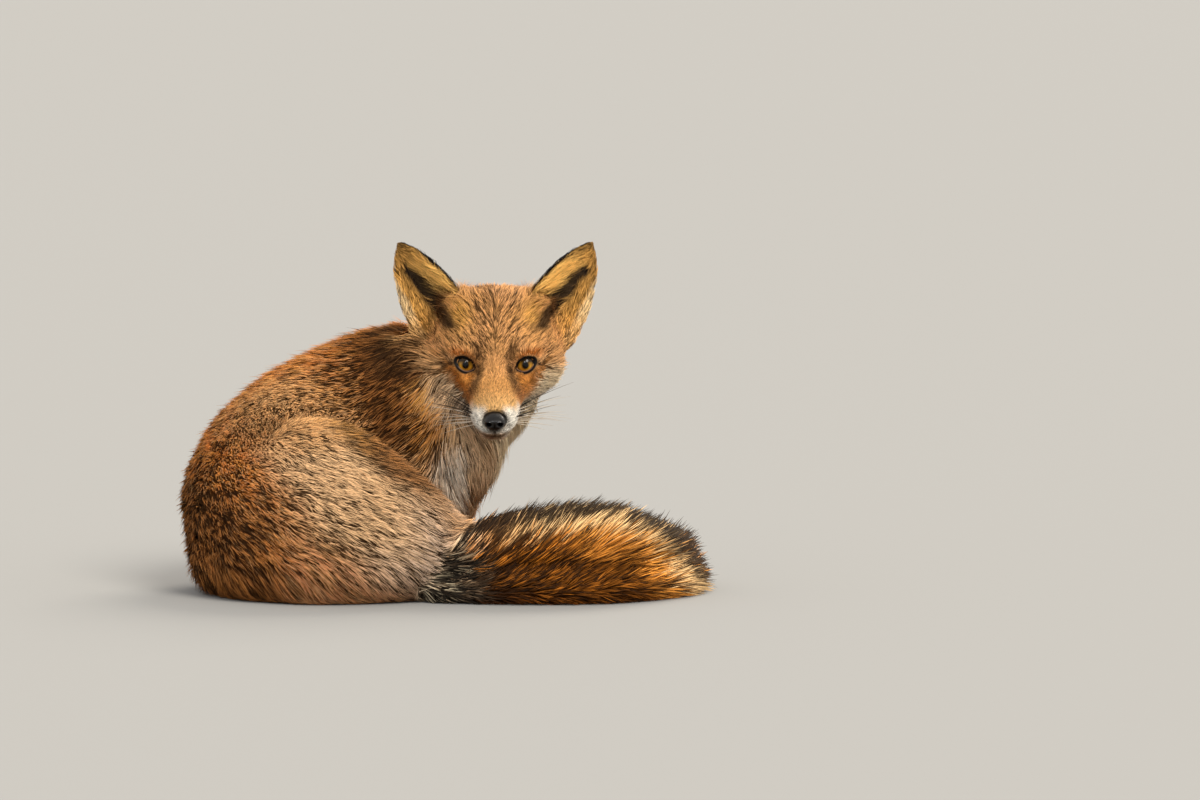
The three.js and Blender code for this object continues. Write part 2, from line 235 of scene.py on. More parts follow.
class FoxSkinSettings(bpy.types.PropertyGroup):
    voxel: length_setting("Grain", "Size of the skin's squares", 2.1 * MM)
    swell: length_setting("Swell", "How far the solids grow to close the gaps between them", 0.7 * MM)
    body_rounds: bpy.props.IntProperty(name="Body smoothing", description="Rounds of smoothing on the trunk",
                                       default=90, min=0)


class FoxCoatSettings(bpy.types.PropertyGroup):
    seed: bpy.props.IntProperty(name="Seed", description="Start of the random draws", default=7)
    amount: bpy.props.FloatProperty(name="Amount", description="Share of the full number of tufts",
                                    default=1.0, min=0.01, max=1.0, subtype="FACTOR")
    patch: bpy.props.FloatProperty(name="Patch", description="Width of each tuft's place on the unwrap",
                                   default=0.003)


class FoxFaceSettings(bpy.types.PropertyGroup):
    iris: bpy.props.FloatVectorProperty(name="Iris", description="Colour of the iris", subtype="COLOR",
                                        default=tuple(linear(206, 148, 46)))
    iris_width: length_setting("Iris width", "Width of the iris", 14.2 * MM)
    pupil_width: length_setting("Pupil", "Width of the pupil", 5.0 * MM)


class FoxStageSettings(bpy.types.PropertyGroup):
    distance: length_setting("Camera distance", "From the camera to the fox", 8.0)
    elevation: bpy.props.FloatProperty(name="Elevation", description="Of the camera above the horizon",
                                       default=math.radians(5), subtype="ANGLE", unit="ROTATION")
    width: length_setting("View width", "What the view spans at the fox", 0.968)
    aim: bpy.props.FloatVectorProperty(name="Aim", description="Point that the camera looks at",
                                       subtype="XYZ", unit="LENGTH", default=(0.1314, -0.043, 0.1576))


# ---------------------------------------------------------------- the skin

DEPTHS = {  # how thick the coat is over each part, in millimetres
    "head": 3.0, "ears": 0.5, "neck": 11, "breast": 13, "shoulders": 9, "flank": 9, "rump": 9, "thigh": 8,
    "forelegs": 3, "hindfeet": 2.5, "tail": 0,
}
SMOOTHING = {  # how freely each part is smoothed
    "head": 0.10, "ears": 0.04, "neck": 0.8, "breast": 0.7, "shoulders": 1, "flank": 1, "rump": 1, "thigh": 1,
    "forelegs": 0.15, "hindfeet": 0.12, "tail": 0.9,
}
TAIL_CORE = 0.5  # share of the way to the middle of the brush that its skin lies in
POINTS_PER_NODE = 1500  # spread over each solid to find which one a place of the skin belongs to
PATH_SAMPLES = 80
PATH_BLEND = 12 * MM  # how softly a point's nearest stretch of a path gives way to the next
skin = {}  # arrays of the finished skin, which the coat grows from


def with_area(tri):
    """The triangles whose three corners all differ."""
    return tri[(tri[:, 0] != tri[:, 1]) & (tri[:, 1] != tri[:, 2]) & (tri[:, 0] != tri[:, 2])]


def node_surface(node):
    """A node's places, with doubles merged, and its triangles."""
    co, tri, _ = mesh_arrays(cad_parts[node].data)
    places, index = np.unique(np.round(co, 6), axis=0, return_inverse=True)
    return places, with_area(index.reshape(-1)[tri])


def remeshed(co, tri, voxel):
    """One closed surface of even squares round everything given."""
    piece = bpy.data.objects.new("block", new_mesh("block", co, tri))
    bpy.context.scene.collection.objects.link(piece)
    remesh = piece.modifiers.new("remesh", "REMESH")
    remesh.mode = "VOXEL"
    remesh.voxel_size = voxel
    done = piece.evaluated_get(bpy.context.evaluated_depsgraph_get())
    arrays = mesh_arrays(done.to_mesh())
    done.to_mesh_clear()
    bpy.data.objects.remove(piece)
    return arrays


def largest_part(co, tri, edges):
    """The largest connected surface, found by passing the lowest number round each part."""
    label = np.arange(len(co))
    while True:
        low = np.minimum(label[edges[:, 0]], label[edges[:, 1]])
        new = label.copy()
        np.minimum.at(new, edges[:, 0], low)
        np.minimum.at(new, edges[:, 1], low)
        new = new[new]
        if (new == label).all():
            break
        label = new
    keep = label == np.bincount(label).argmax()
    index = np.cumsum(keep) - 1
    return co[keep], index[tri[keep[tri[:, 0]]]], index[edges[keep[edges[:, 0]]]]


def search_tree(points):
    """A tree that finds the nearest of some points."""
    tree = kdtree.KDTree(len(points))
    for i, p in enumerate(points):
        tree.insert(p, i)
    tree.balance()
    return tree


def nearest(tree, places):
    """The number of the tree's point that is nearest to each place."""
    return np.array([tree.find(p)[1] for p in places])


def nearest_groups(co, surfaces):
    """For each place, 1 in the column of the group whose solids are nearest, from points spread over them."""
    rng = np.random.default_rng(1)
    points, owners = [], []
    for node, (nodes_co, tri) in surfaces.items():
        area = np.linalg.norm(face_normals(nodes_co, tri), axis=1)
        picks = rng.choice(len(tri), POINTS_PER_NODE, p=area / area.sum())
        w = rng.dirichlet((1, 1, 1), POINTS_PER_NODE)[:, :, None]
        points.append((nodes_co[tri[picks]] * w).sum(1))
        owners += [next(i for i, g in enumerate(GROUP_NAMES) if node in GROUPS[g])] * POINTS_PER_NODE
    near = np.array(owners)[nearest(search_tree(np.concatenate(points)), co)]
    return np.eye(len(GROUP_NAMES))[near]


def by_group(table, weights):
    """The blend of a table's numbers by the groups' weights."""
    return weights @ np.array([table[g] for g in GROUP_NAMES], float)


def head_depth(co):
    """Coat over the head, in millimetres: thin on the muzzle and round the eyes, deep on the cheeks."""
    f, l, u = head_places(co).T
    depth = 2.2 + 4.5 * ramp(np.abs(l), 26, 46) * ramp(-f, -12, 24) + 2.5 * ramp(-f, 18, 50)
    depth = depth * (1 - 0.5 * ramp(f, 6, 40))
    near = np.minimum(*[np.hypot(np.hypot(f + 4, l - 25 * s), u) for s in (1, -1)])
    return depth * (0.55 + 0.45 * ramp(near, 9, 20))


def path_frame(points, path):
    """For each point: distance from a path, the unit vector away, the tangent and the share along it."""
    at, way = spline(path, PATH_SAMPLES)
    away = points[:, None, :] - at[None]
    reach = np.linalg.norm(away, axis=2)
    near = reach.argmin(1)
    rows = np.arange(len(points))
    w = np.exp(-((reach - reach[rows, near][:, None]) / PATH_BLEND))
    w /= w.sum(1, keepdims=True)
    tangent = unit(w @ way)
    along = w @ np.linspace(0, 1, PATH_SAMPLES)
    off = points - w @ at
    off = off - tangent * (off * tangent).sum(1, keepdims=True)
    return np.linalg.norm(off, axis=1), unit(off), tangent, along


def hair_flow(co, normal, weights, edges):
    """The way the hair lies: from head to tail along the body, down the legs, and to the ears' tips."""
    column = {g: weights[:, i : i + 1] for i, g in enumerate(GROUP_NAMES)}
    _, _, body_way, _ = path_frame(co, BODY_PATH)
    _, tail_out, tail_way, tail_along = path_frame(co, TAIL_PATH)
    lift = np.interp(tail_along, [0, 0.25, 0.45, 0.62, 0.75, 1], [1.6, 1.3, 0.85, 0.4, 0.0, -0.1])
    hang = 0.35 * ramp(-tail_out[:, 2], 0.2, 0.8) * ramp(tail_along, 0.3, 0.6)
    lift = lift * ramp(tail_out[:, 2], -0.95, -0.3) - hang
    f, l, u = head_places(co).T
    side = np.sign(l)
    cheek = ramp(np.abs(l), 14, 40)
    below = ramp(-u, -4, 34)
    brow = ramp(u, 0, 16) * ramp(f, -50, -10)
    face = np.stack([-np.ones_like(f) * (1 - 0.6 * brow), side * (0.2 + 0.9 * cheek + 0.35 * brow),
                     0.7 * ramp(u, -6, 14) - 1.0 * below * cheek], 1)
    gap, at = near_eye(co)
    sideways = np.stack([0 * side, side, 0 * side], 1)
    away = unit(at[:, 0:1] * sideways + at[:, 1:2] * np.array([[0.0, 0.0, 1.0]]))
    face = unit(face)
    around = ((1 - ramp(gap, 4, 12)) * ramp(at[:, 2], -10, -4))[:, None]
    face = face * (1 - around) + away * around
    _, across = ear_places(co)
    inside = cup_side(co, normal)
    lean = inside * (0.75 * ramp(-across, -8, 4) - 0.2 * ramp(across, 4, 12))
    ear = np.stack([0.1 * inside, side * (0.459 + 0.888 * lean), 0.888 - 0.459 * lean], 1)
    muzzle_end = ramp(normal @ FORWARD, 0.3, 0.8) * ramp(f, 58, 70)
    from_nose = unit(np.stack([0 * f, l, u - NOSE_LEVEL], 1)) * muzzle_end[:, None]
    face = face + 2.5 * from_nose
    feet = unit(middle("forepaw_left", "forepaw_right") - middle("forearm_left", "forearm_right"))
    down = -UP
    settle = (1 - ramp(co[:, 2], 12 * MM, 50 * MM))[:, None] * down
    flow = (
        column["head"] * unit(face @ HEAD_AXES)
        + column["ears"] * unit(ear @ HEAD_AXES)
        + column["neck"] * unit(body_way + 0.55 * down)
        + column["breast"] * unit(np.array([0.25, -0.15, -1.0]))
        + column["shoulders"] * unit(body_way + 0.3 * down)
        + column["flank"] * unit(body_way + 0.15 * down)
        + column["rump"] * unit(body_way + 0.1 * down + 0.6 * settle)
        + column["thigh"] * unit(0.5 * body_way + np.array([0.6, 0.0, -0.55]) + 0.5 * settle)
        + column["forelegs"] * feet
        + column["hindfeet"] * np.array([1.0, 0.0, -0.1])
        + column["tail"] * unit(tail_way + UP * lift[:, None])
    )
    flow -= normal * (flow * normal).sum(1, keepdims=True)
    flow = spread(unit(flow), edges, 4)
    trunk = column["shoulders"] + column["flank"] + column["rump"] + column["thigh"] + column["neck"]
    flow = flow + (spread(flow, edges, 50) - flow) * trunk
    flow -= normal * (flow * normal).sum(1, keepdims=True)
    return unit(flow)


class FOX_OT_skin(bpy.types.Operator):
    """Join the flesh solids into one smooth skin that lies inside them by the coat's depth"""
    bl_idname = "fox.skin"
    bl_label = "Skin"

    def execute(self, context):
        settings = context.scene.fox_skin
        surfaces = {node: node_surface(node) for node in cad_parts}
        places, corners, count = [], [], 0
        for co, tri in surfaces.values():
            places.append(co + vertex_normals(co, tri) * settings.swell)
            corners.append(tri + count)
            count += len(co)
        co, tri, edges = remeshed(np.concatenate(places), np.concatenate(corners), settings.voxel)
        co, tri, edges = largest_part(co, tri, edges)
        weights = nearest_groups(co, surfaces)
        freedom = spread(by_group(SMOOTHING, weights), edges, 8)[:, None]
        co = spread(co, edges, settings.body_rounds, 0.5 * freedom)
        weights = spread(weights, edges, 14)
        weights /= weights.sum(1, keepdims=True)
        normal = vertex_normals(co, tri)
        tail_reach, _, _, _ = path_frame(co, TAIL_PATH)
        depth = by_group(DEPTHS, weights)
        head, tail = (weights[:, GROUP_NAMES.index(g)] for g in ("head", "tail"))
        depth += head * (head_depth(co) - DEPTHS["head"])
        depth = depth * MM + tail * np.clip(TAIL_CORE * tail_reach, 4 * MM, 30 * MM)
        depth = spread(depth, edges, 12)
        low = (1 - ramp(co[:, 2], 10 * MM, 42 * MM)) * (1 - tail)
        depth *= (1 - 0.6 * low) * (1 - 0.6 * low * ramp(-normal[:, 2], 0.25, 0.85))
        depth *= 1 - 0.88 * tail * ramp(-normal[:, 2], 0.15, 0.7) * (1 - ramp(co[:, 2], 14 * MM, 40 * MM))
        co = co - normal * depth[:, None]
        co = spread(co, edges, 12, 0.4 * freedom)
        co = shape_nose_seat(shape_sockets(co))
        normal = vertex_normals(co, tri)
        skin.update(co=co, tri=tri, weights=weights, normal=normal, depth=depth, tree=search_tree(co))
        skin["flow"] = hair_flow(co, normal, weights, edges)
        # the skin takes the coat's colours at 0.4: painted shade under the hair
        tone = marking(co, normal, weights)["under"]
        mesh = new_mesh("skin", co, tri)
        paint(mesh, tone)
        piece = new_piece("skin", mesh, skin_material())
        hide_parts(*[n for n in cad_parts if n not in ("eye_left", "eye_right", "nose")])
        return {"FINISHED"}


def paint(mesh, colours):
    """Store a colour for each vertex under the name tint."""
    layer = mesh.attributes.new("tint", "FLOAT_COLOR", "POINT")
    opaque = np.concatenate([colours, np.ones((len(colours), 1))], 1)
    layer.data.foreach_set("color", opaque.astype(np.float32).ravel())


# ---------------------------------------------------------------- markings

RUST = linear(196, 116, 52)
RUST_DARK = linear(116, 66, 28)
BROWN = linear(84, 54, 27)
UMBER = linear(52, 35, 20)
BLACK = linear(23, 18, 15)
OCHRE = linear(222, 164, 82)
SAND = linear(222, 180, 134)
ASH = linear(180, 162, 150)
GREY = linear(196, 168, 136)
CREAM = linear(242, 208, 146)
WHITE = linear(250, 243, 230)
ORANGE = linear(222, 130, 54)
TAN = linear(204, 148, 86)
PINKISH = linear(198, 144, 92)
PALE = linear(228, 196, 152)
THROAT_WAY = unit(np.array([0.75, -0.45, -0.45]))


def trunk_marking(x, y, z, broad, fine, thigh):
    """Rust back, golden upper flank, pale thigh, dark shoulder partly deepened as painted shade, painted
    shade on the lower left and along the bottom; then the share of dark hairs.
    """
    n = len(x)
    # s and t run along and across the oval pale patch of the thigh, r is 1 near its edge
    s = (x + 50) * 0.84 - (z - 72) * 0.54
    t = (x + 50) * 0.54 + (z - 72) * 0.84
    front = ramp(-y, -60, 10)
    r = np.hypot(s / 105, t / 56) + 0.10 * broad
    pale = (1 - ramp(r, 0.5, 1.15)) * front
    golden = ramp(t, -25, 30) * (1 - ramp(r, 1.15, 1.75)) * front
    tone = mix(np.tile(RUST, (n, 1)), OCHRE, 0.35 * ramp(fine, -0.6, 1.0))
    tone = mix(tone, mix(OCHRE, RUST, 0.35) * 0.82, 0.8 * golden)
    tone = mix(tone, SAND, pale)
    ashen = ramp(s + 6 * broad, -5, 75) * pale
    tone = mix(tone, ASH, 0.8 * ashen)
    # painted shade: darker brown with more dark hairs towards the lower left, the side away from the light
    low = ramp(-z, -125, -65) * ramp(-x, 80, 145) * front
    tone = mix(tone, mix(TAN, RUST_DARK, 0.85) * 0.9, 0.9 * low)
    tone = mix(tone, mix(ASH, BROWN, 0.4), 0.3 * ramp(-z, -60, -20) * ramp(x, -140, -90) * front)
    tone = mix(tone, mix(SAND, TAN, 0.5), 0.7 * bump(x, -125, 60) * ramp(z, 112, 136) * front)
    # the dark shoulder: dark brown coat deepened as painted shade in the curve beside the neck and where it
    # shows above the thigh
    shoulder = bump(x + 0.2 * (z - 150), -46, 36) * ramp(z, 90, 125) * ramp(-y, -105, -60) * (1 - thigh)
    over = thigh * ramp(z - np.interp(x, [-108, -40, 3, 30], [158, 95, 78, 70]), -4, 14) * ramp(x, -110, -75)
    shoulder = np.maximum(shoulder, 0.93 * over)
    tone = mix(tone, mix(BROWN, RUST, 0.1)[None], 0.95 * shoulder)
    tone = mix(tone, mix(OCHRE, BROWN, 0.5)[None], 0.5 * over * ramp(-x, 35, 80))
    # painted shade: darker along the bottom, near the floor
    tone = tone * (1 - 0.3 * ramp(-z, -34, -4) * ramp(-x, -30, 90))[:, None]
    dark = 0.32 - 0.14 * golden + 0.04 * ashen + 0.28 * low + 0.38 * shoulder + 0.1 * broad + 0.08 * pale
    return tone, dark


def neck_marking(points, x, y, z, normal, broad, fine):
    """Rust nape, brown behind the cheek deepened as painted shadow of the head, an ochre band, then the beige
    and white of throat and breast; painted shade under the chin, painted backlight on the fox's left.
    """
    n = len(x)
    front = ramp(-y, -95, -55)
    across = x + 12 * normal[:, 0] + 4 * broad
    # the brown of the neck's front and behind the cheek is the coat's own, darkened further as painted shadow
    # of the head
    tone = mix(np.tile(RUST, (n, 1)), mix(BROWN, RUST, 0.12)[None] * 0.7, front)
    tone = mix(tone, mix(BROWN, UMBER, 0.3)[None] * 0.9, bump(across, -40, 24) * front)
    band = bump(across, -19, 11) * ramp(z, 62, 112) * (1 - ramp(z, 146, 172)) * front
    tone = mix(tone, OCHRE, 0.9 * band)
    throat = np.maximum(ramp(across, -12, 6) * front, ramp(normal @ THROAT_WAY, 0.1, 0.5) * ramp(x, 10, 40))
    tone = mix(tone, mix(mix(PALE, TAN, 0.6)[None], mix(PALE, WHITE, 0.6)[None], ramp(-z, -130, -95)), throat)
    # painted shade under the chin and the cheek's ruff, on the throat's upper part
    tone = tone * (1 - 0.25 * throat * ramp(z, 105, 130) * ramp(-across, -30, -5))[:, None]
    # white throat fur, strengthened on the fox's left as painted backlight
    white = ramp(across, 30, 58) * throat
    tone = mix(tone, WHITE, 0.9 * white)
    dark = 0.58 + 0.25 * bump(across, -40, 28) * front - 0.28 * band
    dark = dark - (0.2 + 0.12 * ramp(-z, -105, -80)) * throat - 0.18 * white + 0.08 * broad
    inside = inside_ruff(points, fine)
    _, d, _, _ = mask_places(points)
    left = ramp(head_places(points)[:, 1], -5, 10)
    tone = mix(tone, cheek_tone(d, left), inside)
    # fewer dark hairs in the ruff on the fox's left, part of the painted backlight
    return tone, dark + (0.26 - 0.18 * left - dark) * inside


def cheek_tone(down, left):
    """The cheeks' grizzled tan, paler and greyer further down, most of all on the fox's left, where the
    bright warm tone is painted backlight; the scaled-down tones are painted shade.
    """
    # painted light and shade: the fox's left lower cheek brightened as backlit, the fox's right and the upper
    # cheeks scaled down as shade
    lower = mix(mix(GREY, TAN, 0.2)[None] * 0.92, linear(255, 232, 192)[None] * 1.3, left)
    return mix(mix(GREY, TAN, 0.65)[None] * 0.84, lower, ramp(down + 8 * left, 0, 24))


def inside_ruff(points, fine):
    """1 within the outline that the cheeks' long hair gives the face."""
    side = head_places(points)[:, 1]
    a, d, f, _ = mask_places(points)
    right = np.interp(d, [-30, 4, 28, 48, 60], [55, 62, 56, 42, 24])
    left = np.interp(d, [-30, -12, 4, 12, 24, 36, 60], [62, 62, 60, 56, 52, 46, 34])
    reach = np.where(side < 0, right, left)
    return ramp(reach + 2 * fine - a, -2, 4) * ramp(f, -78, -60) * ramp(d, -24, -8)


def mask_places(points):
    """Measures in mm: to either side, down across the face from the pupils, ahead of them and above."""
    f, l, u = head_places(points).T
    return np.abs(l), 0.342 * f - 0.94 * u, f, u


def streak_side(down):
    """How far from the middle the dark streak runs beside the bridge."""
    return np.interp(down, [-16, -8, 7.5, 17, 26, 40], [7, 9.5, 14, 17.2, 21, 26])


def head_marking(points, normal, broad, fine):
    """The mask: tan bridge, dark streaks, orange below the eyes, grey cheeks, white lips, speckled brow."""
    a, d, f, u = mask_places(points)
    gap, at = near_eye(points)
    n = len(a)
    ahead = ramp(f, -45, -20)
    face = mix(np.tile(PINKISH, (n, 1)) * 1.08, TAN, 0.4 * ramp(fine, -0.5, 0.8))
    face = face * (1 - 0.08 * ramp(-d, 28, 46) - 0.12 * ramp(12 - a, 0, 6) * ramp(-d, -6, 2))[:, None]
    # forehead and sides of the face
    left = ramp(head_places(points)[:, 1], -5, 10)
    ochre = np.exp(-((a - 30) / 11) ** 2 - ((d + 44) / 15) ** 2)
    face = mix(face, mix(OCHRE[None], OCHRE[None] * 0.66, left), 0.9 * ochre)
    side = ramp(a, 26, 42) * ramp(d, -26, 4)
    face = mix(face, cheek_tone(d, left), 0.85 * side)
    # the bridge, the colour below the eyes, the brow, and beside the bridge a dark mark that is partly
    # painted shade in the hollow above the eye's inner corner
    edge = streak_side(d)
    bridge = ramp(edge - a, 0, 5) * ramp(f, -22, 2)
    face = mix(face, TAN, bridge * (0.3 + 0.6 * ramp(d, 0, 16)))
    face = mix(face, mix(TAN, CREAM, 0.6), 0.6 * bridge * ramp(d, 14, 36))
    under = ramp(a, edge, edge + 6) * (1 - ramp(a + 0.5 * (d - 10) + 2.5 * fine, 33, 41))
    under = under * ramp(d + 0.8 * np.maximum(a - 29, 0), 1, 7)
    under = under * (1 - ramp(d + 3 * fine, 15, 34)) * ahead
    warm = mix(linear(206, 132, 58)[None], mix(RUST, BROWN, 0.1)[None], 0.8 * ramp(d, 16, 30))
    face = mix(face, warm, 0.86 * under)
    brow = np.exp(-((a - 28) / 10) ** 2 - ((d + 10 + 0.28 * (a - 28)) / 4.3) ** 2)
    face = mix(face, linear(150, 80, 26), np.clip(1.3 * brow, 0, 0.95) * ahead)
    # dark mark beside the bridge, partly painted shade in the hollow above the eye's inner corner
    shade = bump(a, 13 + 0.25 * (-d - 8), 5) * ramp(-d, 2, 8) * (1 - ramp(-d, 14, 26)) * ahead
    face = mix(face, mix(BROWN, UMBER, 0.3), 0.88 * shade)
    # the pale band across the cheek, the muzzle's side, the dark streak and the eye's outer corner
    beside = bump(a + 0.72 * (d - 10), 43.5 - 0.8 * np.sign(head_places(points)[:, 1]), 5)
    beside *= ramp(d, 2, 14) * (1 - ramp(d, 34, 44)) * ahead
    face = mix(face, linear(250, 226, 190), 0.9 * beside)
    muzzle_side = np.exp(-((a - edge - 2) / 4.5) ** 2) * ramp(d, 12, 24)
    muzzle_side = muzzle_side * (1 - ramp(d, 32, 42)) * ramp(f, 0, 20)
    face = mix(face, mix(RUST, BROWN, 0.3)[None], 0.75 * muzzle_side)
    streak = np.exp(-((a - edge) / (3.4 + 0.06 * np.maximum(d, 0))) ** 2) * ramp(d, -16, 4)
    streak = streak * (1 - ramp(d, 14, 34)) * ramp(f, -14, -4)
    face = mix(face, mix(UMBER, BROWN, 0.7)[None], 0.84 * streak)
    corner = np.exp(-((at[:, 1] + 0.15 * at[:, 0] - 4 + 0.5 * (at[:, 0] - 9)) / 2.3) ** 2)
    corner = corner * ramp(at[:, 0], 7, 9) * (1 - ramp(at[:, 0], 17, 24)) * ahead
    face = mix(face, UMBER, 0.92 * corner)
    # lips, nose and jaw, then the mouth, the chin and the rows of the whiskers
    lips = ramp(f, 18, 44) * ramp(d + 0.5 * a + 1.5 * fine, 36, 50)
    lips = lips * np.maximum(ramp(a, 4, 11), ramp(-u, 22, 26))
    lips = np.clip(lips + ramp(-u, 25, 32) * ramp(f, 16, 40), 0, 1)
    face = mix(face, WHITE, 0.97 * lips)
    below_nose = 0.85 * ramp(-u, 26, 31) * ramp(10 - a, -4, 4) * ramp(f, 50, 66)
    face = mix(face, mix(WHITE, TAN, 0.9) * 0.5, below_nose)
    nose_side = np.exp(-((d - 38) / 6) ** 2) * ramp(f, 56, 68) * ramp(a, 4, 10)
    face = mix(face, WHITE, 0.8 * nose_side)
    jaw = ramp(-u, 26, 38) * ramp(-f, -34, -10)
    face = mix(face, mix(GREY, WHITE, 0.55), 0.85 * jaw)
    # the mouth: a dark lip line, with painted shade standing for the crease between the lips
    mouth = bump(u + 0.05 * a, -34.2, 1.5) * ramp(f, 20, 40)
    mouth = mouth + bump(a, 0, 1.2) * ramp(-u, 26, 28) * ramp(u, -35, -34)
    front_line = 0.9 * np.clip(mouth * ramp(f, 60, 70), 0, 1)
    face = mix(face, UMBER, front_line + 0.5 * np.clip(mouth * ramp(65 - f, 0, 10), 0, 1))
    chin = ramp(-normal[:, 2], 0.35, 0.8) * ramp(f, 0, 40) * (1 - 0.7 * ramp(f, 58, 70))
    face = mix(face, mix(GREY, TAN, 0.4)[None], 0.55 * chin)
    pads = np.zeros(n)
    for row in range(3):
        pads += np.exp(-((u + 20.5 + 3.2 * row) / 0.7) ** 2)
    pads *= ramp(f, 36, 44) * (1 - ramp(f, 58, 64)) * ramp(a, 12, 15) * (0.5 + 0.5 * np.sin(f * 1.6))
    face = mix(face, UMBER, 0.6 * np.clip(pads, 0, 1))
    # the back of the head and the foot of the ears, the share of dark hairs and the ring round the eyes
    back = ramp(-f, 52, 78)
    face = mix(face, RUST, 0.8 * back)
    hollow = ear_hollow(points, fine) * ramp(-d, 26, 34)
    face = mix(face, BLACK, 0.9 * np.clip(1.2 * hollow, 0, 1))
    dark = 0.28 * ramp(-d, 4, 26) * (1 - 0.7 * ochre) + 0.2 * side + 0.06 * under * ramp(d, 12, 24)
    dark += 0.3 * back
    dark += 0.25 * ramp(-d, 0, 12) * np.exp(-((a - 12) / 5) ** 2)
    dark = dark * (1 - 0.92 * ramp(f, 0, 20) * bridge) * (1 - 0.85 * lips)
    dark = dark + 0.25 * streak + 0.4 * corner + 0.3 * shade
    ring = np.exp(-((gap - RIM - 0.6) / 0.8) ** 2) * (1 - ramp(-at[:, 2], 8, 12)) * ramp(at[:, 1], -1, 3)
    face = mix(face, mix(ORANGE, CREAM, 0.5)[None], 0.6 * ring * (1 - streak))
    return face, dark + 0.06 * broad


def ear_places(points):
    """Measures of an ear in mm: from its root towards the tip, and outward across it."""
    _, l, u = head_places(points).T
    out = np.abs(l) - 45
    return out * 0.459 + (u - 26) * 0.888, out * 0.888 - (u - 26) * 0.459


def cup_side(points, normal):
    """1 in the cup of an ear and 0 on its back: whether the skin faces forward and to the cup's axis."""
    side = np.sign(head_places(points)[:, 1:2])
    _, across = ear_places(points)
    lean = np.clip(-0.045 * across, -0.8, 0.8)[:, None]
    facing = (normal * unit(FORWARD + lean * side * LEFTWARD)).sum(1)
    return ramp(facing + 0.5 * ramp(across, 6, 14), -0.1, 0.2)


def ear_hollow(points, fine):
    """The dark stripe down the inside of an ear, from two thirds up it to the head."""
    height, across = ear_places(points)
    stripe = bump(across, -6.0 + 0.24 * height + 1.6 * fine, 7.8 - 0.055 * np.clip(height, 0, 60))
    return stripe * ramp(height, -10, -2) * (1 - ramp(height, 42, 56))


def ear_marking(points, normal, fine):
    """Black behind; in the cup cream, ochre towards the inner edge, and a dark hollow combed across."""
    height, across = ear_places(points)
    n = len(height)
    rim = np.interp(height, [0, 15, 25, 35, 45, 62, 72], [-14, -27, -25, -22, -17.5, -11, -2])
    edge = ramp(rim - across, -1.7, -0.6) * ramp(height, 10, 18)
    inside = cup_side(points, normal) * (1 - edge)
    # painted light: the cup's inner side up to 35% brighter on the fox's left ear, as if lit through from
    # behind
    medial = linear(248, 194, 108)[None] * (1 + 0.35 * ramp(points[:, 0] / MM, 40, 60))[:, None]
    cup = mix(np.tile(mix(OCHRE, TAN, 0.2) * 0.58, (n, 1)), medial, ramp(-across, -8, 8))
    cup = mix(cup, mix(CREAM, WHITE, 0.2), 0.5 * ramp(across, 16, 20))
    cup = mix(cup, mix(OCHRE, RUST, 0.3)[None], 0.6 * ramp(-height, -18, 2) * ramp(across, 0, 8))
    cup = mix(cup, mix(OCHRE, BROWN, 0.6) * 0.8, 0.85 * ramp(height, 40, 58))
    cup = mix(cup, BLACK, 0.97 * np.clip(1.8 * ear_hollow(points, fine), 0, 1))
    behind = mix(np.tile(RUST, (n, 1)), BLACK, ramp(height, 2, 20))
    ears = behind + (cup - behind) * inside[:, None]
    ears = mix(ears, BLACK, ramp(height, 64, 70) * (1 - 0.5 * inside))
    return ears, 0.05 * inside


def tail_marking(points, broad, fine):
    """Grizzled root, cream crest under black tips, chestnut to orange side, an underside painted dark as
    shade, and white tip; near the root the side away from the crest is painted darker as shade.
    """
    _, radial, _, along = path_frame(points, TAIL_PATH)
    n = len(along)
    ridge = unit(mix(np.array([-0.25, 0.2, 0.95]), np.array([0.85, 0, 0.5]), ramp(along, 0.48, 0.74)))
    behind = ramp(radial[:, 1], -0.1, 0.5) * ramp(radial[:, 2], -0.6, 0.1)
    crest = (radial * ridge).sum(1) + 0.35 * behind + 0.05 * broad
    crest = crest + 0.14 * (1 - ramp(along, 0.3, 0.48))
    crest = crest + 0.3 * ramp(radial[:, 0], 0.86, 0.98) * ramp(along, 0.5, 0.62)
    right = ramp(along + 0.04 * broad, 0.36, 0.62)
    tone = np.tile(linear(102, 58, 14), (n, 1))
    tone = mix(tone, linear(152, 90, 26), ramp(crest + 0.15 * fine, -0.5, 0.25))
    tone = mix(tone, linear(220, 146, 62), right * ramp(crest + 0.1 * fine, -0.55, 0.2))
    pale = 0.95 * ramp(crest + 0.12 * fine, 0.16, 0.36) * ramp(along, 0.24, 0.42)
    pale = pale * (1 - ramp(radial[:, 0], 0.86, 0.97) * ramp(along, 0.5, 0.62))
    tone = mix(tone, linear(206, 170, 120), pale)
    # painted shade: near the root the side away from the crest darker, and the underside dark with more dark
    # hairs
    tone = tone * (1 - 0.38 * (1 - ramp(along, 0.3, 0.46)) * ramp(-crest, -0.3, 0.1))[:, None]
    under = ramp(-radial[:, 2], 0.5, 0.95)
    tone = mix(tone, linear(96, 48, 14), 0.8 * under)
    root = 1 - ramp(along + 0.02 * fine, 0.19, 0.31)
    tone = mix(tone, linear(206, 192, 162), 0.9 * root)
    tip = ramp(along, 0.84, 0.92) * ramp(radial[:, 2], -0.5, 0.1)
    tone = mix(tone, WHITE, tip)
    first = 1 - ramp(along, 0.3, 0.5)
    inked = 0.36 - 0.1 * right + 0.42 * first + ramp(crest, 0.5, 0.64) + 0.3 * under + 0.3 * root
    inked = inked - 0.12 * bump(crest, 0.36, 0.14)
    return tone, np.clip(inked, 0, 1) * (1 - tip), crest, root * (1 - tip)


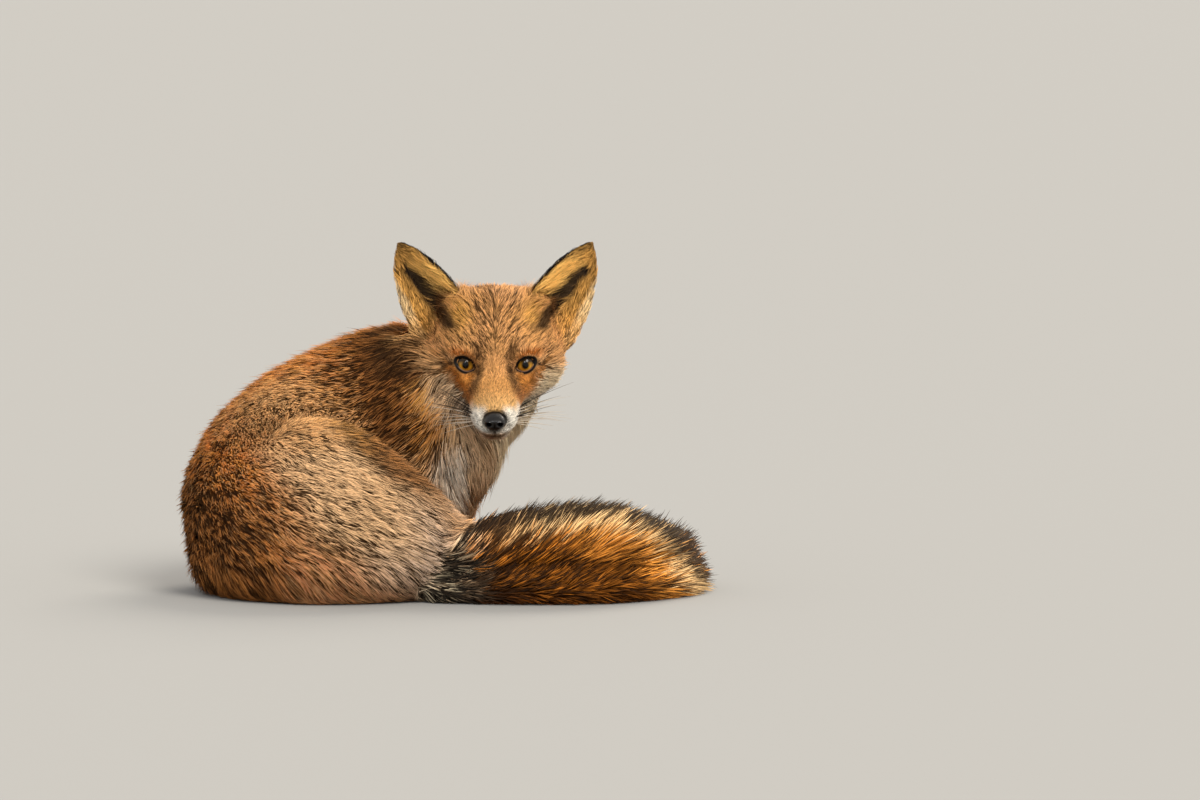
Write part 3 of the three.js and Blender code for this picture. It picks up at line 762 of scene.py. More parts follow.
def marking(points, normal, weights):
    """The coat's colours, mid and under, where under is mid darkened as painted shade beneath the hair; its
    share of dark hairs, and the brush's crest, root and extent.
    """
    x, y, z = (points / MM).T
    fine = waves(points, 16 * MM, 11)
    broad = waves(points, 60 * MM, 12)
    trunk = trunk_marking(x, y, z, broad, fine, weights[:, GROUP_NAMES.index("thigh")])
    neck = neck_marking(points, x, y, z, normal, broad, fine)
    tail, inked, crest, root = tail_marking(points, broad, fine)
    fore = (mix(BLACK, RUST_DARK, 0.25), 0)
    hind = (mix(RUST, BROWN, 0.3), 0.2)
    parts = {"head": head_marking(points, normal, broad, fine), "ears": ear_marking(points, normal, fine),
             "neck": neck, "breast": neck, "shoulders": trunk, "flank": trunk, "rump": trunk, "thigh": trunk,
             "forelegs": fore, "hindfeet": hind, "tail": (tail, inked)}
    mid = sum(weights[:, i : i + 1] * parts[g][0] for i, g in enumerate(GROUP_NAMES))
    dark = sum(weights[:, i] * parts[g][1] for i, g in enumerate(GROUP_NAMES))
    # under: the coat's colours at 0.4, painted shade for the skin beneath the hair
    return {"mid": mid, "under": mid * 0.4, "dark": np.clip(dark, 0, 1), "crest": crest, "root": root,
            "tail": weights[:, GROUP_NAMES.index("tail")]}


# ---------------------------------------------------------------- materials


def plain_material(name, roughness, **sockets):
    """A Principled material with constants on its own sockets; returns it, its tree and the shader."""
    material = bpy.data.materials.new(name)
    material.use_nodes = True
    tree = material.node_tree
    shader = tree.nodes["Principled BSDF"]
    shader.inputs["Roughness"].default_value = roughness
    for socket, value in sockets.items():
        shader.inputs[socket.replace("_", " ")].default_value = value
    return material, tree, shader


def add_node(tree, kind, inputs=None, **settings):
    """A shader node with its settings; each input, by name or number, takes a constant or an output."""
    node = tree.nodes.new("ShaderNode" + kind)
    for name, value in settings.items():
        setattr(node, name, value)
    for key, value in (inputs or {}).items():
        if isinstance(value, bpy.types.NodeSocket):
            tree.links.new(value, node.inputs[key])
        else:
            node.inputs[key].default_value = value
    return node


def add_relief(tree, height, strength, distance, invert=False):
    """A bump of the material's surface, from a height."""
    inputs = {"Strength": strength, "Distance": distance, "Height": height}
    relief = add_node(tree, "Bump", inputs, invert=invert)
    tree.links.new(relief.outputs["Normal"], tree.nodes["Principled BSDF"].inputs["Normal"])


def vertex_colour(tree):
    """The output that gives the colours stored at the vertices."""
    return add_node(tree, "Attribute", attribute_name="tint").outputs["Color"]


def strand_group():
    """A node group that breaks a colour up with fine streaks, and also gives their height."""
    if "strands" in bpy.data.node_groups:
        return bpy.data.node_groups["strands"]
    group = bpy.data.node_groups.new("strands", "ShaderNodeTree")
    for name, kind, way in (("Colour", "NodeSocketColor", "INPUT"), ("Size", "NodeSocketFloat", "INPUT"),
                            ("Depth", "NodeSocketFloat", "INPUT"), ("Colour", "NodeSocketColor", "OUTPUT"),
                            ("Height", "NodeSocketFloat", "OUTPUT")):
        group.interface.new_socket(name=name, in_out=way, socket_type=kind)
    source, sink = group.nodes.new("NodeGroupInput"), group.nodes.new("NodeGroupOutput")
    depth = source.outputs["Depth"]
    place = add_node(group, "TexCoord").outputs["Object"]
    noise = add_node(group, "TexNoise", {"Vector": place, "Scale": source.outputs["Size"], "Detail": 4})
    base = add_node(group, "Math", {0: depth, 1: -0.5, 2: 1}, operation="MULTIPLY_ADD")
    shade = add_node(group, "Math", {0: noise.outputs["Fac"], 1: depth, 2: base.outputs[0]},
                     operation="MULTIPLY_ADD")
    scale = add_node(group, "VectorMath", {0: source.outputs["Colour"], "Scale": shade.outputs[0]},
                     operation="SCALE")
    group.links.new(scale.outputs[0], sink.inputs["Colour"])
    group.links.new(noise.outputs["Fac"], sink.inputs["Height"])
    return group


def hair_material(name, roughness=0.62, size=260, depth=0.5):
    """Hair: the vertex colours broken up by fine streaks."""
    if name in bpy.data.materials:
        return bpy.data.materials[name]
    material, tree, shader = plain_material(name, roughness, Specular_IOR_Level=0.05)
    strands = add_node(tree, "Group", {"Colour": vertex_colour(tree), "Size": size, "Depth": depth},
                       node_tree=strand_group())
    tree.links.new(strands.outputs["Colour"], shader.inputs["Base Color"])
    return material


def skin_material():
    """Skin and undercoat: the hair's colours, darker as painted shade under the coat, with a fine bump."""
    material = hair_material("undercoat", roughness=0.75, size=700, depth=0.7)
    tree = material.node_tree
    strands = next(n for n in tree.nodes if n.type == "GROUP")
    add_relief(tree, strands.outputs["Height"], 0.5, 0.6 * MM)
    return material


# ---------------------------------------------------------------- the coat

# Each kind of coat: the groups it covers, its number of tufts, their length and width in mm, how far they
# stray singly and sway together in radians, the size of the locks in mm and how strongly they draw together,
# the width of the streaks in mm and how far they smear the markings, its number of pieces, and its slot.
COATS = {
    "coat_head": dict(groups=("head",), tufts=54000, length=(4.5, 11), width=0.5, stray=0.12, sway=0.08,
                      lock=2.4, draw=0.25, grain=0.7, smear=0.3, pieces=2, slot="coat_tawny"),
    "coat_ears": dict(groups=("ears",), tufts=14000, length=(5, 9), width=0.42, stray=0.2, sway=0.14,
                      lock=3, draw=0.3, grain=0.75, smear=0.3, pieces=1, slot="coat_dusky"),
    "coat_neck": dict(groups=("neck", "breast"), tufts=32000, length=(18, 27), width=0.8, stray=0.12,
                      sway=0.2, lock=6, draw=0.45, grain=1.3, smear=0.2, pieces=1, slot="coat_russet"),
    "coat_back": dict(groups=("shoulders", "flank"), tufts=58000, length=(11, 16), width=0.68, stray=0.1,
                      sway=0.1, lock=3.4, draw=0.12, grain=1.1, smear=0.2, pieces=2, slot="coat_russet"),
    "coat_hips": dict(groups=("rump", "thigh"), tufts=46000, length=(10, 15), width=0.65, stray=0.1, sway=0.1,
                      lock=3.4, draw=0.12, grain=1.1, smear=0.2, pieces=2, slot="coat_sand"),
    "coat_legs": dict(groups=("forelegs", "hindfeet"), tufts=7000, length=(6, 10), width=0.9, stray=0.12,
                      sway=0.1, lock=3, draw=0.2, grain=1.3, smear=0.2, pieces=1, slot="coat_dusky"),
    "coat_brush": dict(groups=("tail",), tufts=22000, length=(28, 40), width=0.9, stray=0.13, sway=0.15,
                       lock=5, draw=0.3, grain=1.5, smear=0.2, pieces=2, slot="coat_brush", long=True),
}
CELL_KEY = np.array([73856093, 19349663, 83492791])  # makes one number of a cell's three
TABLE_SIZE = 8191
ROOT_DEPTH = 0.4 * MM  # how far below the skin the tufts begin, and the least height over the ground
BRIGHTEST = 0.92  # of a tuft's colours, which are scaled down to it without a change of hue


def sow(rng, tri, share, count):
    """Roots spread evenly by area times share: their triangles and their places in them."""
    area = np.linalg.norm(face_normals(skin["co"], tri), axis=1) * share
    picks = np.sort(rng.choice(len(tri), count, p=area / area.sum()))
    u = rng.random((count, 2))
    over = u.sum(1) > 1
    u[over] = 1 - u[over]
    return picks, np.stack([1 - u.sum(1), u[:, 0], u[:, 1]], 1)


def unwrap(co, tri):
    """The places on the unit square of the triangles' corners, by an unwrap of their patch of skin."""
    used, index = np.unique(tri, return_inverse=True)
    mesh = new_mesh("patch", co[used], index.reshape(-1, 3))
    patch = bpy.data.objects.new("patch", mesh)
    bpy.context.scene.collection.objects.link(patch)
    for other in bpy.context.selected_objects:
        other.select_set(False)
    bpy.context.view_layer.objects.active = patch
    patch.select_set(True)
    bpy.ops.object.mode_set(mode="EDIT")
    bpy.ops.mesh.select_all(action="SELECT")
    bpy.ops.uv.smart_project(angle_limit=math.radians(66), island_margin=0.002)
    bpy.ops.object.mode_set(mode="OBJECT")
    uv = np.empty(len(mesh.loops) * 2, np.float32)
    mesh.uv_layers.active.data.foreach_get("uv", uv)
    bpy.data.objects.remove(patch)
    return uv.reshape(-1, 3, 2)


def over_skin(points, height):
    """Points moved to a height above the nearest skin, along its normal there; also that skin's normals."""
    near = nearest(skin["tree"], points)
    normal = skin["normal"][near]
    off = ((points - skin["co"][near]) * normal).sum(1)
    return points + normal * (height - off)[:, None], normal


def locks(points, tips, size, draw, rng):
    """Tips drawn towards the middle of their lock: cells of a warped grid over the roots."""
    warp = np.stack([waves(points, 3 * size, s) for s in (21, 22, 23)], 1) * size * 0.6
    cell = np.floor((points + warp) / size).astype(np.int64)
    _, index = np.unique(cell @ CELL_KEY, return_inverse=True)
    count = np.bincount(index)[:, None]
    centre = gather(index, tips, len(count)) / count
    pull = (draw * rng.uniform(0.5, 1.3, len(tips)))[:, None]
    return tips + (centre[index] - tips) * np.clip(pull, 0, 0.9)


def streaks(root, way, grain, rng):
    """Noise of standard deviation 1 drawn out along the hair: the mean of random cells met along the way."""
    table = rng.random(TABLE_SIZE)
    total = 0
    for step in range(-4, 5):
        cell = np.floor((root + way * (step * grain)) / grain).astype(np.int64)
        total = total + table[(cell @ CELL_KEY) % TABLE_SIZE]
    return (total - total.mean()) / total.std()


def tuft_arrays(root, mid, tip, normal, width, long):
    """Closed spindles: a root, a flat ring of three points (two rings where long), a tip; and their faces."""
    along = unit(tip - root)
    across = unit(np.cross(along, normal))
    lift = unit(np.cross(across, along))
    rings = [(mid, 1.0)]
    if long:
        rings = [(mix(root, mid, 0.72), 0.85), (mix(mid, tip, 0.42), 0.8)]
    half = (width / 2)[:, None]
    layers = [root[:, None]]
    for centre, share in rings:
        ring = np.stack([centre - across * half * share, centre + lift * half * 0.8 * share,
                         centre + across * half * share], 1)
        layers.append(ring)
    layers.append(tip[:, None])
    points = np.concatenate(layers, 1)
    last = points.shape[1] - 1
    faces = [(0, 2, 1), (0, 3, 2), (0, 1, 3)]
    for k in range(len(rings) - 1):
        a = 1 + 3 * k
        for i in range(3):
            j = (i + 1) % 3
            faces += [(a + i, a + 3 + j, a + 3 + i), (a + i, a + j, a + 3 + j)]
    a = last - 3
    faces += [(a, a + 1, last), (a + 1, a + 2, last), (a + 2, a, last)]
    return points, np.array(faces)


def coat_pieces(name, plan, order, points, faces, colours, facing, uv):
    """The pieces of a coat, each with an equal share of the tufts; their normals mix fur's and tuft's own."""
    material = hair_material("fur")
    trust = 0.9 if name == "coat_ears" else 0.4
    soft = np.repeat(facing[:, None], points.shape[1], 1)
    for k, chosen in enumerate(np.array_split(order, plan["pieces"])):
        chosen = np.sort(chosen)
        first = np.arange(len(chosen)) * points.shape[1]
        local = (faces + first[:, None, None]).reshape(-1, 3)
        label = name if plan["pieces"] == 1 else f"{name}_{k + 1}"
        mesh = new_mesh(label, points[chosen].reshape(-1, 3), local)
        paint(mesh, colours[chosen].reshape(-1, 3))
        layer = mesh.uv_layers.new(name="OFBake")
        layer.data.foreach_set("uv", uv[chosen].reshape(-1, 2)[local.ravel()].astype(np.float32).ravel())
        shape_normal = vertex_normals(points[chosen].reshape(-1, 3), local)
        blended = unit(trust * soft[chosen].reshape(-1, 3) + 0.45 * shape_normal)
        mesh.normals_split_custom_set_from_vertices(blended.astype(np.float32))
        new_piece(label, mesh, material)


def grow_coat(name, plan, settings, index):
    """One kind of coat: roots sown, tufts laid along the flow, coloured and split into pieces."""
    rng = np.random.default_rng(settings.seed + index)
    co, normal, weights = skin["co"], skin["normal"], skin["weights"]
    column = [GROUP_NAMES.index(g) for g in plan["groups"]]
    owner = weights.argmax(1)
    tri = skin["tri"]
    tri = tri[np.isin(owner[tri[:, 0]], column)]
    count = int(plan["tufts"] * settings.amount)
    share = density(co[tri].mean(1), name)
    picks, bary = sow(rng, tri, share, count)
    corner = tri[picks]

    def blend(values):
        """The skin's values at the roots."""
        return (values[corner] * bary.reshape(count, 3, *([1] * (values.ndim - 1)))).sum(1)

    root, out, way, part = blend(co), unit(blend(normal)), unit(blend(skin["flow"])), blend(weights)
    depth = blend(skin["depth"])
    turn = rng.normal(0, plan["stray"], count) + plan["sway"] * waves(root, 22 * MM, 31)
    turn += 0.5 * plan["sway"] * waves(root, 7 * MM, 32)
    side = np.cross(out, way)
    way = way * np.cos(turn)[:, None] + side * np.sin(turn)[:, None]
    length, width, height = tuft_sizes(name, plan, root, out, part, depth, rng)
    streak = streaks(root, way, plan["grain"] * MM, rng)
    height = height * (1 + 0.15 * np.clip(streak, -1.5, 1.5))
    if plan.get("long"):
        rise = np.radians(rng.uniform(14, 40, count))
        tip = root + (way * np.cos(rise)[:, None] + out * np.sin(rise)[:, None]) * length[:, None]
        tip_out = out
        mid = mix(root, tip, 0.5) + out * (0.06 * length)[:, None]
    else:
        tip, tip_out = over_skin(root + way * length[:, None], height)
        mid, _ = over_skin(root + way * (0.42 * length)[:, None], 0.62 * height)
    tip = locks(root, tip, plan["lock"] * MM, plan["draw"], rng)
    root = root - out * ROOT_DEPTH
    floor = ROOT_DEPTH + 1.2 * MM * rng.random(count)
    for points in (root, mid, tip):
        points[:, 2] = np.maximum(points[:, 2], floor)
    points, faces = tuft_arrays(root, mid, tip, out, width, plan.get("long", False))
    shown = mid + (tip - root) * (plan["smear"] * streak)[:, None]
    colours = tuft_colours(shown, out, part, streak, length, rng, points.shape[1])
    facing = unit(out + 0.5 * tip_out)
    if name == "coat_ears":
        facing = unit(facing + cup_side(root, out)[:, None] * (FORWARD + 0.8 * UP))
    uv = place_on_unwrap(co, tri, picks, bary, points, settings.patch)
    coat_pieces(name, plan, rng.permutation(count), points, faces, colours, facing, uv)


def density(places, name):
    """How thickly tufts stand on the skin, relative to the rest of the same coat."""
    f, l, u = head_places(places).T
    if name == "coat_head":
        gap, at = near_eye(places)
        lids = ramp(gap, RIM - 0.4, RIM + 0.5) + ramp(-at[:, 2], 6, 10)
        high = (u - NOSE_LEVEL) * np.where(u > NOSE_LEVEL, 1.27, 1.0)
        nose = 1 - ramp(f, NOSE_SEAT - 1.2, NOSE_SEAT - 0.6) * (np.hypot(l / 1.15, high) < 9.0)
        return (0.65 + 1.1 * ramp(f, -40, 10)) * np.clip(lids, 0, 1) * nose
    low = ramp(places[:, 2], 0.002, 0.012)
    return 0.25 + 0.75 * low


def tuft_sizes(name, plan, root, out, part, depth, rng):
    """Length, width and height of the tip over the skin for each tuft."""
    count = len(root)
    low, high = plan["length"]
    length = rng.uniform(low, high, count) * MM
    width = plan["width"] * MM * rng.uniform(0.75, 1.25, count)
    height = depth * rng.uniform(0.55, 1.0, count)
    rogue = rng.random(count) < 0.08
    height = height * np.where(rogue, rng.uniform(1.1, 1.5, count), 1)
    if "rump" in plan["groups"] or "flank" in plan["groups"]:
        skirt = 1 - ramp(root[:, 2], 8 * MM, 62 * MM)
        height += (8 + 6 * ramp(-root[:, 0], 0.05, 0.12)) * MM * skirt * rng.uniform(0.5, 1, count)
        length += 6 * MM * skirt * ramp(-root[:, 0], 0.05, 0.12)
    if name == "coat_head":
        a, d, f, u = mask_places(root)
        gap, at = near_eye(root)
        cheek = ramp(a, 26, 46) * ramp(d, -22, 6)
        crown = ramp(-d, 30, 50) * ramp(-f, -10, 20)
        beside = crown * bump(a, 32, 11)
        length = 3.4 + 4.4 * ramp(-f, -14, 30) + 13 * cheek + 2.5 * crown + 8 * beside
        length = np.minimum(length, 2.2 + 0.55 * np.maximum(gap, 0) + 20 * ramp(-at[:, 2], 6, 12))
        lip = bump(u, -31.5, 2.8) * ramp(f, 50, 60) + bump(a, 0, 2) * ramp(-u, 25, 28) * ramp(f, 60, 68)
        under = ramp(-u, 33.5, 36.5) * ramp(f, 28, 55)
        pad = bump(u, -21, 8) * ramp(f, 34, 50) * ramp(a, 8, 14)
        length = (length + 4 * under + 3 * pad) * (1 - 0.6 * np.clip(lip, 0, 1))
        length = length * rng.uniform(0.75, 1.25, count) * MM
        width = width * (0.82 + 0.5 * cheek)
        height = height + MM * (4.5 * under + 2.6 * pad) * rng.uniform(0.4, 1, count)
        height = height * (1 + 0.9 * cheek) + 3 * crown * MM * rng.random(count) + 7 * beside * MM
        height = np.minimum(height, (0.30 + 0.3 * cheek + 0.45 * crown + 0.2 * pad + 0.35 * under) * length)
        height = np.minimum(height, (0.4 + 0.35 * np.maximum(gap, 0) + 20 * ramp(-at[:, 2], 6, 12)) * MM)
    if name == "coat_neck":
        edge = ramp(out[:, 0], 0.45, 0.9) * ramp(root[:, 0], 0.015, 0.05) * ramp(-root[:, 1], -0.02, 0.02)
        height = height * (1 + 0.9 * edge * rng.random(count))
        length = length * (1 + 0.15 * edge)
        width = width * (1 - 0.25 * edge)
    if name == "coat_ears":
        inside = cup_side(root, out)
        tall, across = ear_places(root)
        medial = ramp(-across, -4, 8)
        length = 4.2 + inside * (4.5 + 6.5 * medial * (1 - ramp(tall, 40, 62)))
        length = length * rng.uniform(0.75, 1.2, count) * MM
        height = MM * (0.7 + 0.6 * rng.random(count) + inside * (0.8 + 2.6 * medial * rng.random(count)))
        height = height * (1 - 0.6 * ramp(tall, 46, 62))
        length = length * (1 - 0.5 * ramp(tall, 50, 64))
    if name == "coat_brush":
        crest = marking(root, out, part)["crest"]
        length = length * (1 - 0.3 * ramp(-crest, 0.3, 0.8)) * (1 + 0.25 * ramp(root[:, 0], 0.15, 0.2))
        length = length * (0.75 + 0.25 * ramp(depth, 8 * MM, 20 * MM))
    return length, width, height


def tuft_colours(mid, out, part, streak, length, rng, per):
    """Colours at the root, rings and tip of each tuft: mostly light hairs, with dark ones among them; roots
    and lower rings painted darker as shade in the coat.
    """
    count = len(mid)
    tone = marking(mid, out, part)
    brush = tone["tail"]
    head, ears, fore, hind = (part[:, GROUP_NAMES.index(g)] for g in ("head", "ears", "forelegs", "hindfeet"))
    trunk = np.clip(1 - brush - head - ears - fore - hind, 0, 1)
    force = 0.44 * (0.4 + 0.6 * ramp(length, 3.5 * MM, 7 * MM)) + 0.1 * ramp(length, 14 * MM, 20 * MM)
    force = force + 0.08 * trunk
    shade = np.exp(force * streak + 0.2 * rng.normal(size=count) - 0.5 * (force**2 + 0.04))
    light = tone["mid"] * np.clip(shade, 0.25, 2.6)[:, None]
    chance = 1 / (1 + np.exp(-1.7 * (0.75 * streak + 0.66 * rng.normal(size=count))))
    dark = (chance < tone["dark"]).astype(float)
    ink = mix(UMBER, BLACK, rng.random(count) * 0.6 + 0.4 * brush)
    ink = mix(ink, BROWN, 0.6 * head + 0.35 * trunk)
    black = ramp(tone["crest"], 0.54, 0.66)
    dark = dark * (1 - 0.6 * black * (rng.random(count) < 0.08))
    body = mix(light, ink, dark * (0.8 - brush * (0.55 - 0.65 * black)))
    grizzled = (0.3 * rng.normal(size=count) < 0.55 - streak) * ramp(tone["root"], 0.1, 0.4) * brush
    body = mix(body, BLACK, 0.9 * grizzled)
    banded = (rng.random(count) < 0.35) * (1 - dark) * trunk * ramp(tone["mid"].mean(1), 0.06, 0.2)
    body = mix(body, SAND, 0.3 * banded)
    bright = 1.35 + 0.35 * trunk + 0.15 * head
    ends = mix(mix(light * bright[:, None], SAND * 1.3, 0.45 * banded), ink, dark)
    ends = mix(ends, BLACK, 0.8 * grizzled)
    rings = (per - 2) // 3
    # painted shade deep in the coat: roots at about a third of the hair's colour and lower rings darker, less
    # so in the ears
    low = (0.78 - 0.14 * trunk - 0.06 * head + 0.2 * ears)[:, None]
    last = mix(body, ends, 0.45) if rings == 2 else body * low
    layers = [body[:, None] * (0.35 + 0.25 * ears)[:, None, None]]
    layers += [np.repeat((body * 0.85)[:, None], 3, 1)] * (rings - 1)
    layers += [np.repeat(last[:, None], 3, 1), ends[:, None]]
    colours = np.clip(np.concatenate(layers, 1), 0.001, None)
    return colours * np.minimum(1, BRIGHTEST / colours.max(2))[:, :, None]


def place_on_unwrap(co, tri, picks, bary, points, patch):
    """Each tuft as a small patch at its root's place on the unwrap: along it one way, across it the other."""
    uv = unwrap(co, tri)
    at = (uv[picks] * bary[:, :, None]).sum(1)
    per = points.shape[1]
    rings = (per - 2) // 3
    v = [0.0] + [level for k in range(rings) for level in [(k + 1) / (rings + 1)] * 3] + [1.0]
    u = [0.5] + [0.0, 0.5, 1.0] * rings + [0.5]
    shape = np.stack([u, v], 1) - 0.5
    return at[:, None] * (1 - patch) + patch / 2 + shape[None] * patch


class FOX_OT_coat(bpy.types.Operator):
    """Grow the coat over the skin: head, ears, neck, back, hips, legs and brush"""
    bl_idname = "fox.coat"
    bl_label = "Coat"

    def execute(self, context):
        if "co" not in skin:
            raise RuntimeError("make the skin before the coat")
        for index, (name, plan) in enumerate(COATS.items()):
            grow_coat(name, plan, context.scene.fox_coat, index)
        return {"FINISHED"}


# ---------------------------------------------------------------- the eyes

SLANT = math.radians(27)  # of the eye's long axis, outer corner up
OPENING = (7.5, 4.8)  # half length and half height of the opening between the lids, in mm
RIM = 2.0  # width of the bare black rim of the lids
LID = 0.75  # thickness of the lids over the eyeball
CORNERS = (1.7, 0.6)  # how much wider the rim is at the inner and at the outer corner
GAZE_OUT = math.radians(1)
GAZE_UP = math.radians(8)
EYE_MM = EYE_RADIUS / MM
CORNEA = (0.75, math.radians(42))  # how far it stands out in mm, and how far it reaches from the gaze
EYE_SHIFT = (0.9, 0.6)  # how far each eyeball moves inward and up from its solid, in mm
WOBBLE = 0.016  # of the edges of pupil and iris on the eyeball's map, which spans 1
# The rings of a lid: how far outside the opening they lie in mm, and the share of the lid's thickness there.
LID_STEPS = ((-0.9, -0.25), (-0.35, 0.1), (0, 0.55), (0.3, 0.85), (0.8, 1), (1.4, 1), (2, 1), (2.7, 1),
             (3.5, 1), (4.4, 1), (5.4, 1), (6.4, 1))
for side in EYE_BALLS:
    EYE_BALLS[side] = EYE_BALLS[side] + MM * (EYE_SHIFT[1] * CROWNWARD - EYE_SHIFT[0] * side * LEFTWARD)


def eye_axes(side):
    """The gaze of an eye and its outward and upward axes."""
    level = math.cos(GAZE_UP) * FORWARD + math.sin(GAZE_UP) * CROWNWARD
    up = math.cos(GAZE_UP) * CROWNWARD - math.sin(GAZE_UP) * FORWARD
    gaze = math.cos(GAZE_OUT) * level + math.sin(GAZE_OUT) * side * LEFTWARD
    out = math.cos(GAZE_OUT) * side * LEFTWARD - math.sin(GAZE_OUT) * level
    return np.stack([out, up, gaze])


def eye_places(points, side):
    """Millimetres outward, upward and ahead of the middle of an eyeball."""
    return (points - EYE_BALLS[side]) @ eye_axes(side).T / MM


def lid_edge(turn):
    """The opening between the lids: an ellipse drawn out to a point at the inner corner, then slanted."""
    point = 1 + 0.5 * ramp(-np.cos(turn), 0.2, 1)
    a = OPENING[0] * np.cos(turn)
    b = OPENING[1] * np.sign(np.sin(turn)) * np.abs(np.sin(turn)) ** point
    return a * math.cos(SLANT) - b * math.sin(SLANT), a * math.sin(SLANT) + b * math.cos(SLANT)


def beyond_lids(out, up):
    """How far outside the opening a place is, in millimetres, measured straight away from its middle."""
    a, b = lid_edge(np.linspace(0, 2 * math.pi, 240, endpoint=False))
    turn = np.arctan2(b, a)
    order = np.argsort(turn)
    reach = np.interp(np.arctan2(up, out), turn[order], np.hypot(a, b)[order], period=2 * math.pi)
    return np.hypot(out, up) - reach


def near_eye(points):
    """How far outside the nearer eye's opening points of the head are, in mm, and their place round it."""
    side = np.where(head_places(points)[:, 1] > 0, 1, -1)
    places = np.where((side > 0)[:, None], eye_places(points, 1), eye_places(points, -1))
    return beyond_lids(places[:, 0], places[:, 1]) - corner_rim(places[:, 0], places[:, 1]), places


def corner_rim(out, up):
    """How much wider the black rim is towards the two corners of the eye, in millimetres."""
    along = (out * math.cos(SLANT) + up * math.sin(SLANT)) / np.maximum(np.hypot(out, up), 1e-6)
    return CORNERS[0] * ramp(-along, 0.86, 1) + CORNERS[1] * ramp(along, 0.86, 1)


def lid_dome(out, up, radius):
    """Height of a sphere over the plane through the eyeball's middle."""
    return np.sqrt(np.maximum(radius**2 - out**2 - up**2, 0))


def shape_sockets(co):
    """Skin round the eyes: sunk behind each opening, level with the lids beside it, then up to the face."""
    co = co.copy()
    for side in (1, -1):
        out, up, ahead = eye_places(co, side).T
        reach = np.hypot(out, up)
        near = (reach < 20) & (ahead > -9) & (np.sign(head_places(co)[:, 1]) == side)
        gap = beyond_lids(out, up)
        shrink = np.clip((reach - np.maximum(gap, 0)) / np.maximum(reach, 1e-6), 0, 1)
        level = lid_dome(out * shrink, up * shrink, EYE_MM + 0.5) + 0.2 * gap
        high = ahead + (level - ahead) * (1 - ramp(gap, 1.2, 7.5))
        high = np.where(gap < -0.4, EYE_MM * 0.55, high)
        co += np.where(near, high - ahead, 0)[:, None] * eye_axes(side)[2] * MM
    return co


def shape_nose_seat(co):
    """Skin cut off flat behind the nose pad."""
    f, l, u = head_places(co).T
    behind = 1 - ramp(np.hypot(l / 1.15, u - NOSE_LEVEL), 8.5, 10.5)
    return co - (np.maximum(0, f - NOSE_SEAT) * behind)[:, None] * FORWARD * MM


def grid_faces(rows, columns, closed):
    """Triangles of a grid of points, row by row, each row closed on itself or open."""
    i, j = np.meshgrid(np.arange(rows - 1), np.arange(columns if closed else columns - 1), indexing="ij")
    a, b = i * columns + j, i * columns + (j + 1) % columns
    c, d = a + columns, b + columns
    return np.stack([np.stack([a, b, d], -1), np.stack([a, d, c], -1)], 2).reshape(-1, 3)


def eyeball(side, rings=44, turns=64):
    """A sphere with the low dome of a cornea round the gaze, and its map."""
    polar = np.linspace(0, math.pi, rings)[:, None] * np.ones((1, turns))
    turn = np.linspace(0, 2 * math.pi, turns, endpoint=False)[None] * np.ones((rings, 1))
    radius = EYE_MM + CORNEA[0] * np.maximum(0, 1 - (polar / CORNEA[1]) ** 2) ** 1.5
    local = np.stack([np.sin(polar) * np.cos(turn), np.sin(polar) * np.sin(turn), np.cos(polar)], -1)
    local = (local * radius[..., None]).reshape(-1, 3)
    co = EYE_BALLS[side] + local @ eye_axes(side) * MM
    flat = np.stack([np.cos(turn), np.sin(turn)], -1) * (polar / math.pi)[..., None]
    uv = (0.5 + flat / 2).reshape(-1, 2)
    return co, grid_faces(rings, turns, True), uv


def outward(co, tri):
    """The triangles turned, if need be, so that the volume they enclose is positive."""
    volume = (co[tri[:, 0]] * np.cross(co[tri[:, 1]], co[tri[:, 2]])).sum()
    return tri if volume > 0 else tri[:, ::-1]


def merged(co, tri, *others):
    """Places that coincide joined into one, and triangles without area dropped."""
    _, first, index = np.unique(np.round(co, 7), axis=0, return_index=True, return_inverse=True)
    return (co[first], with_area(index.reshape(-1)[tri]), *[o[first] for o in others])


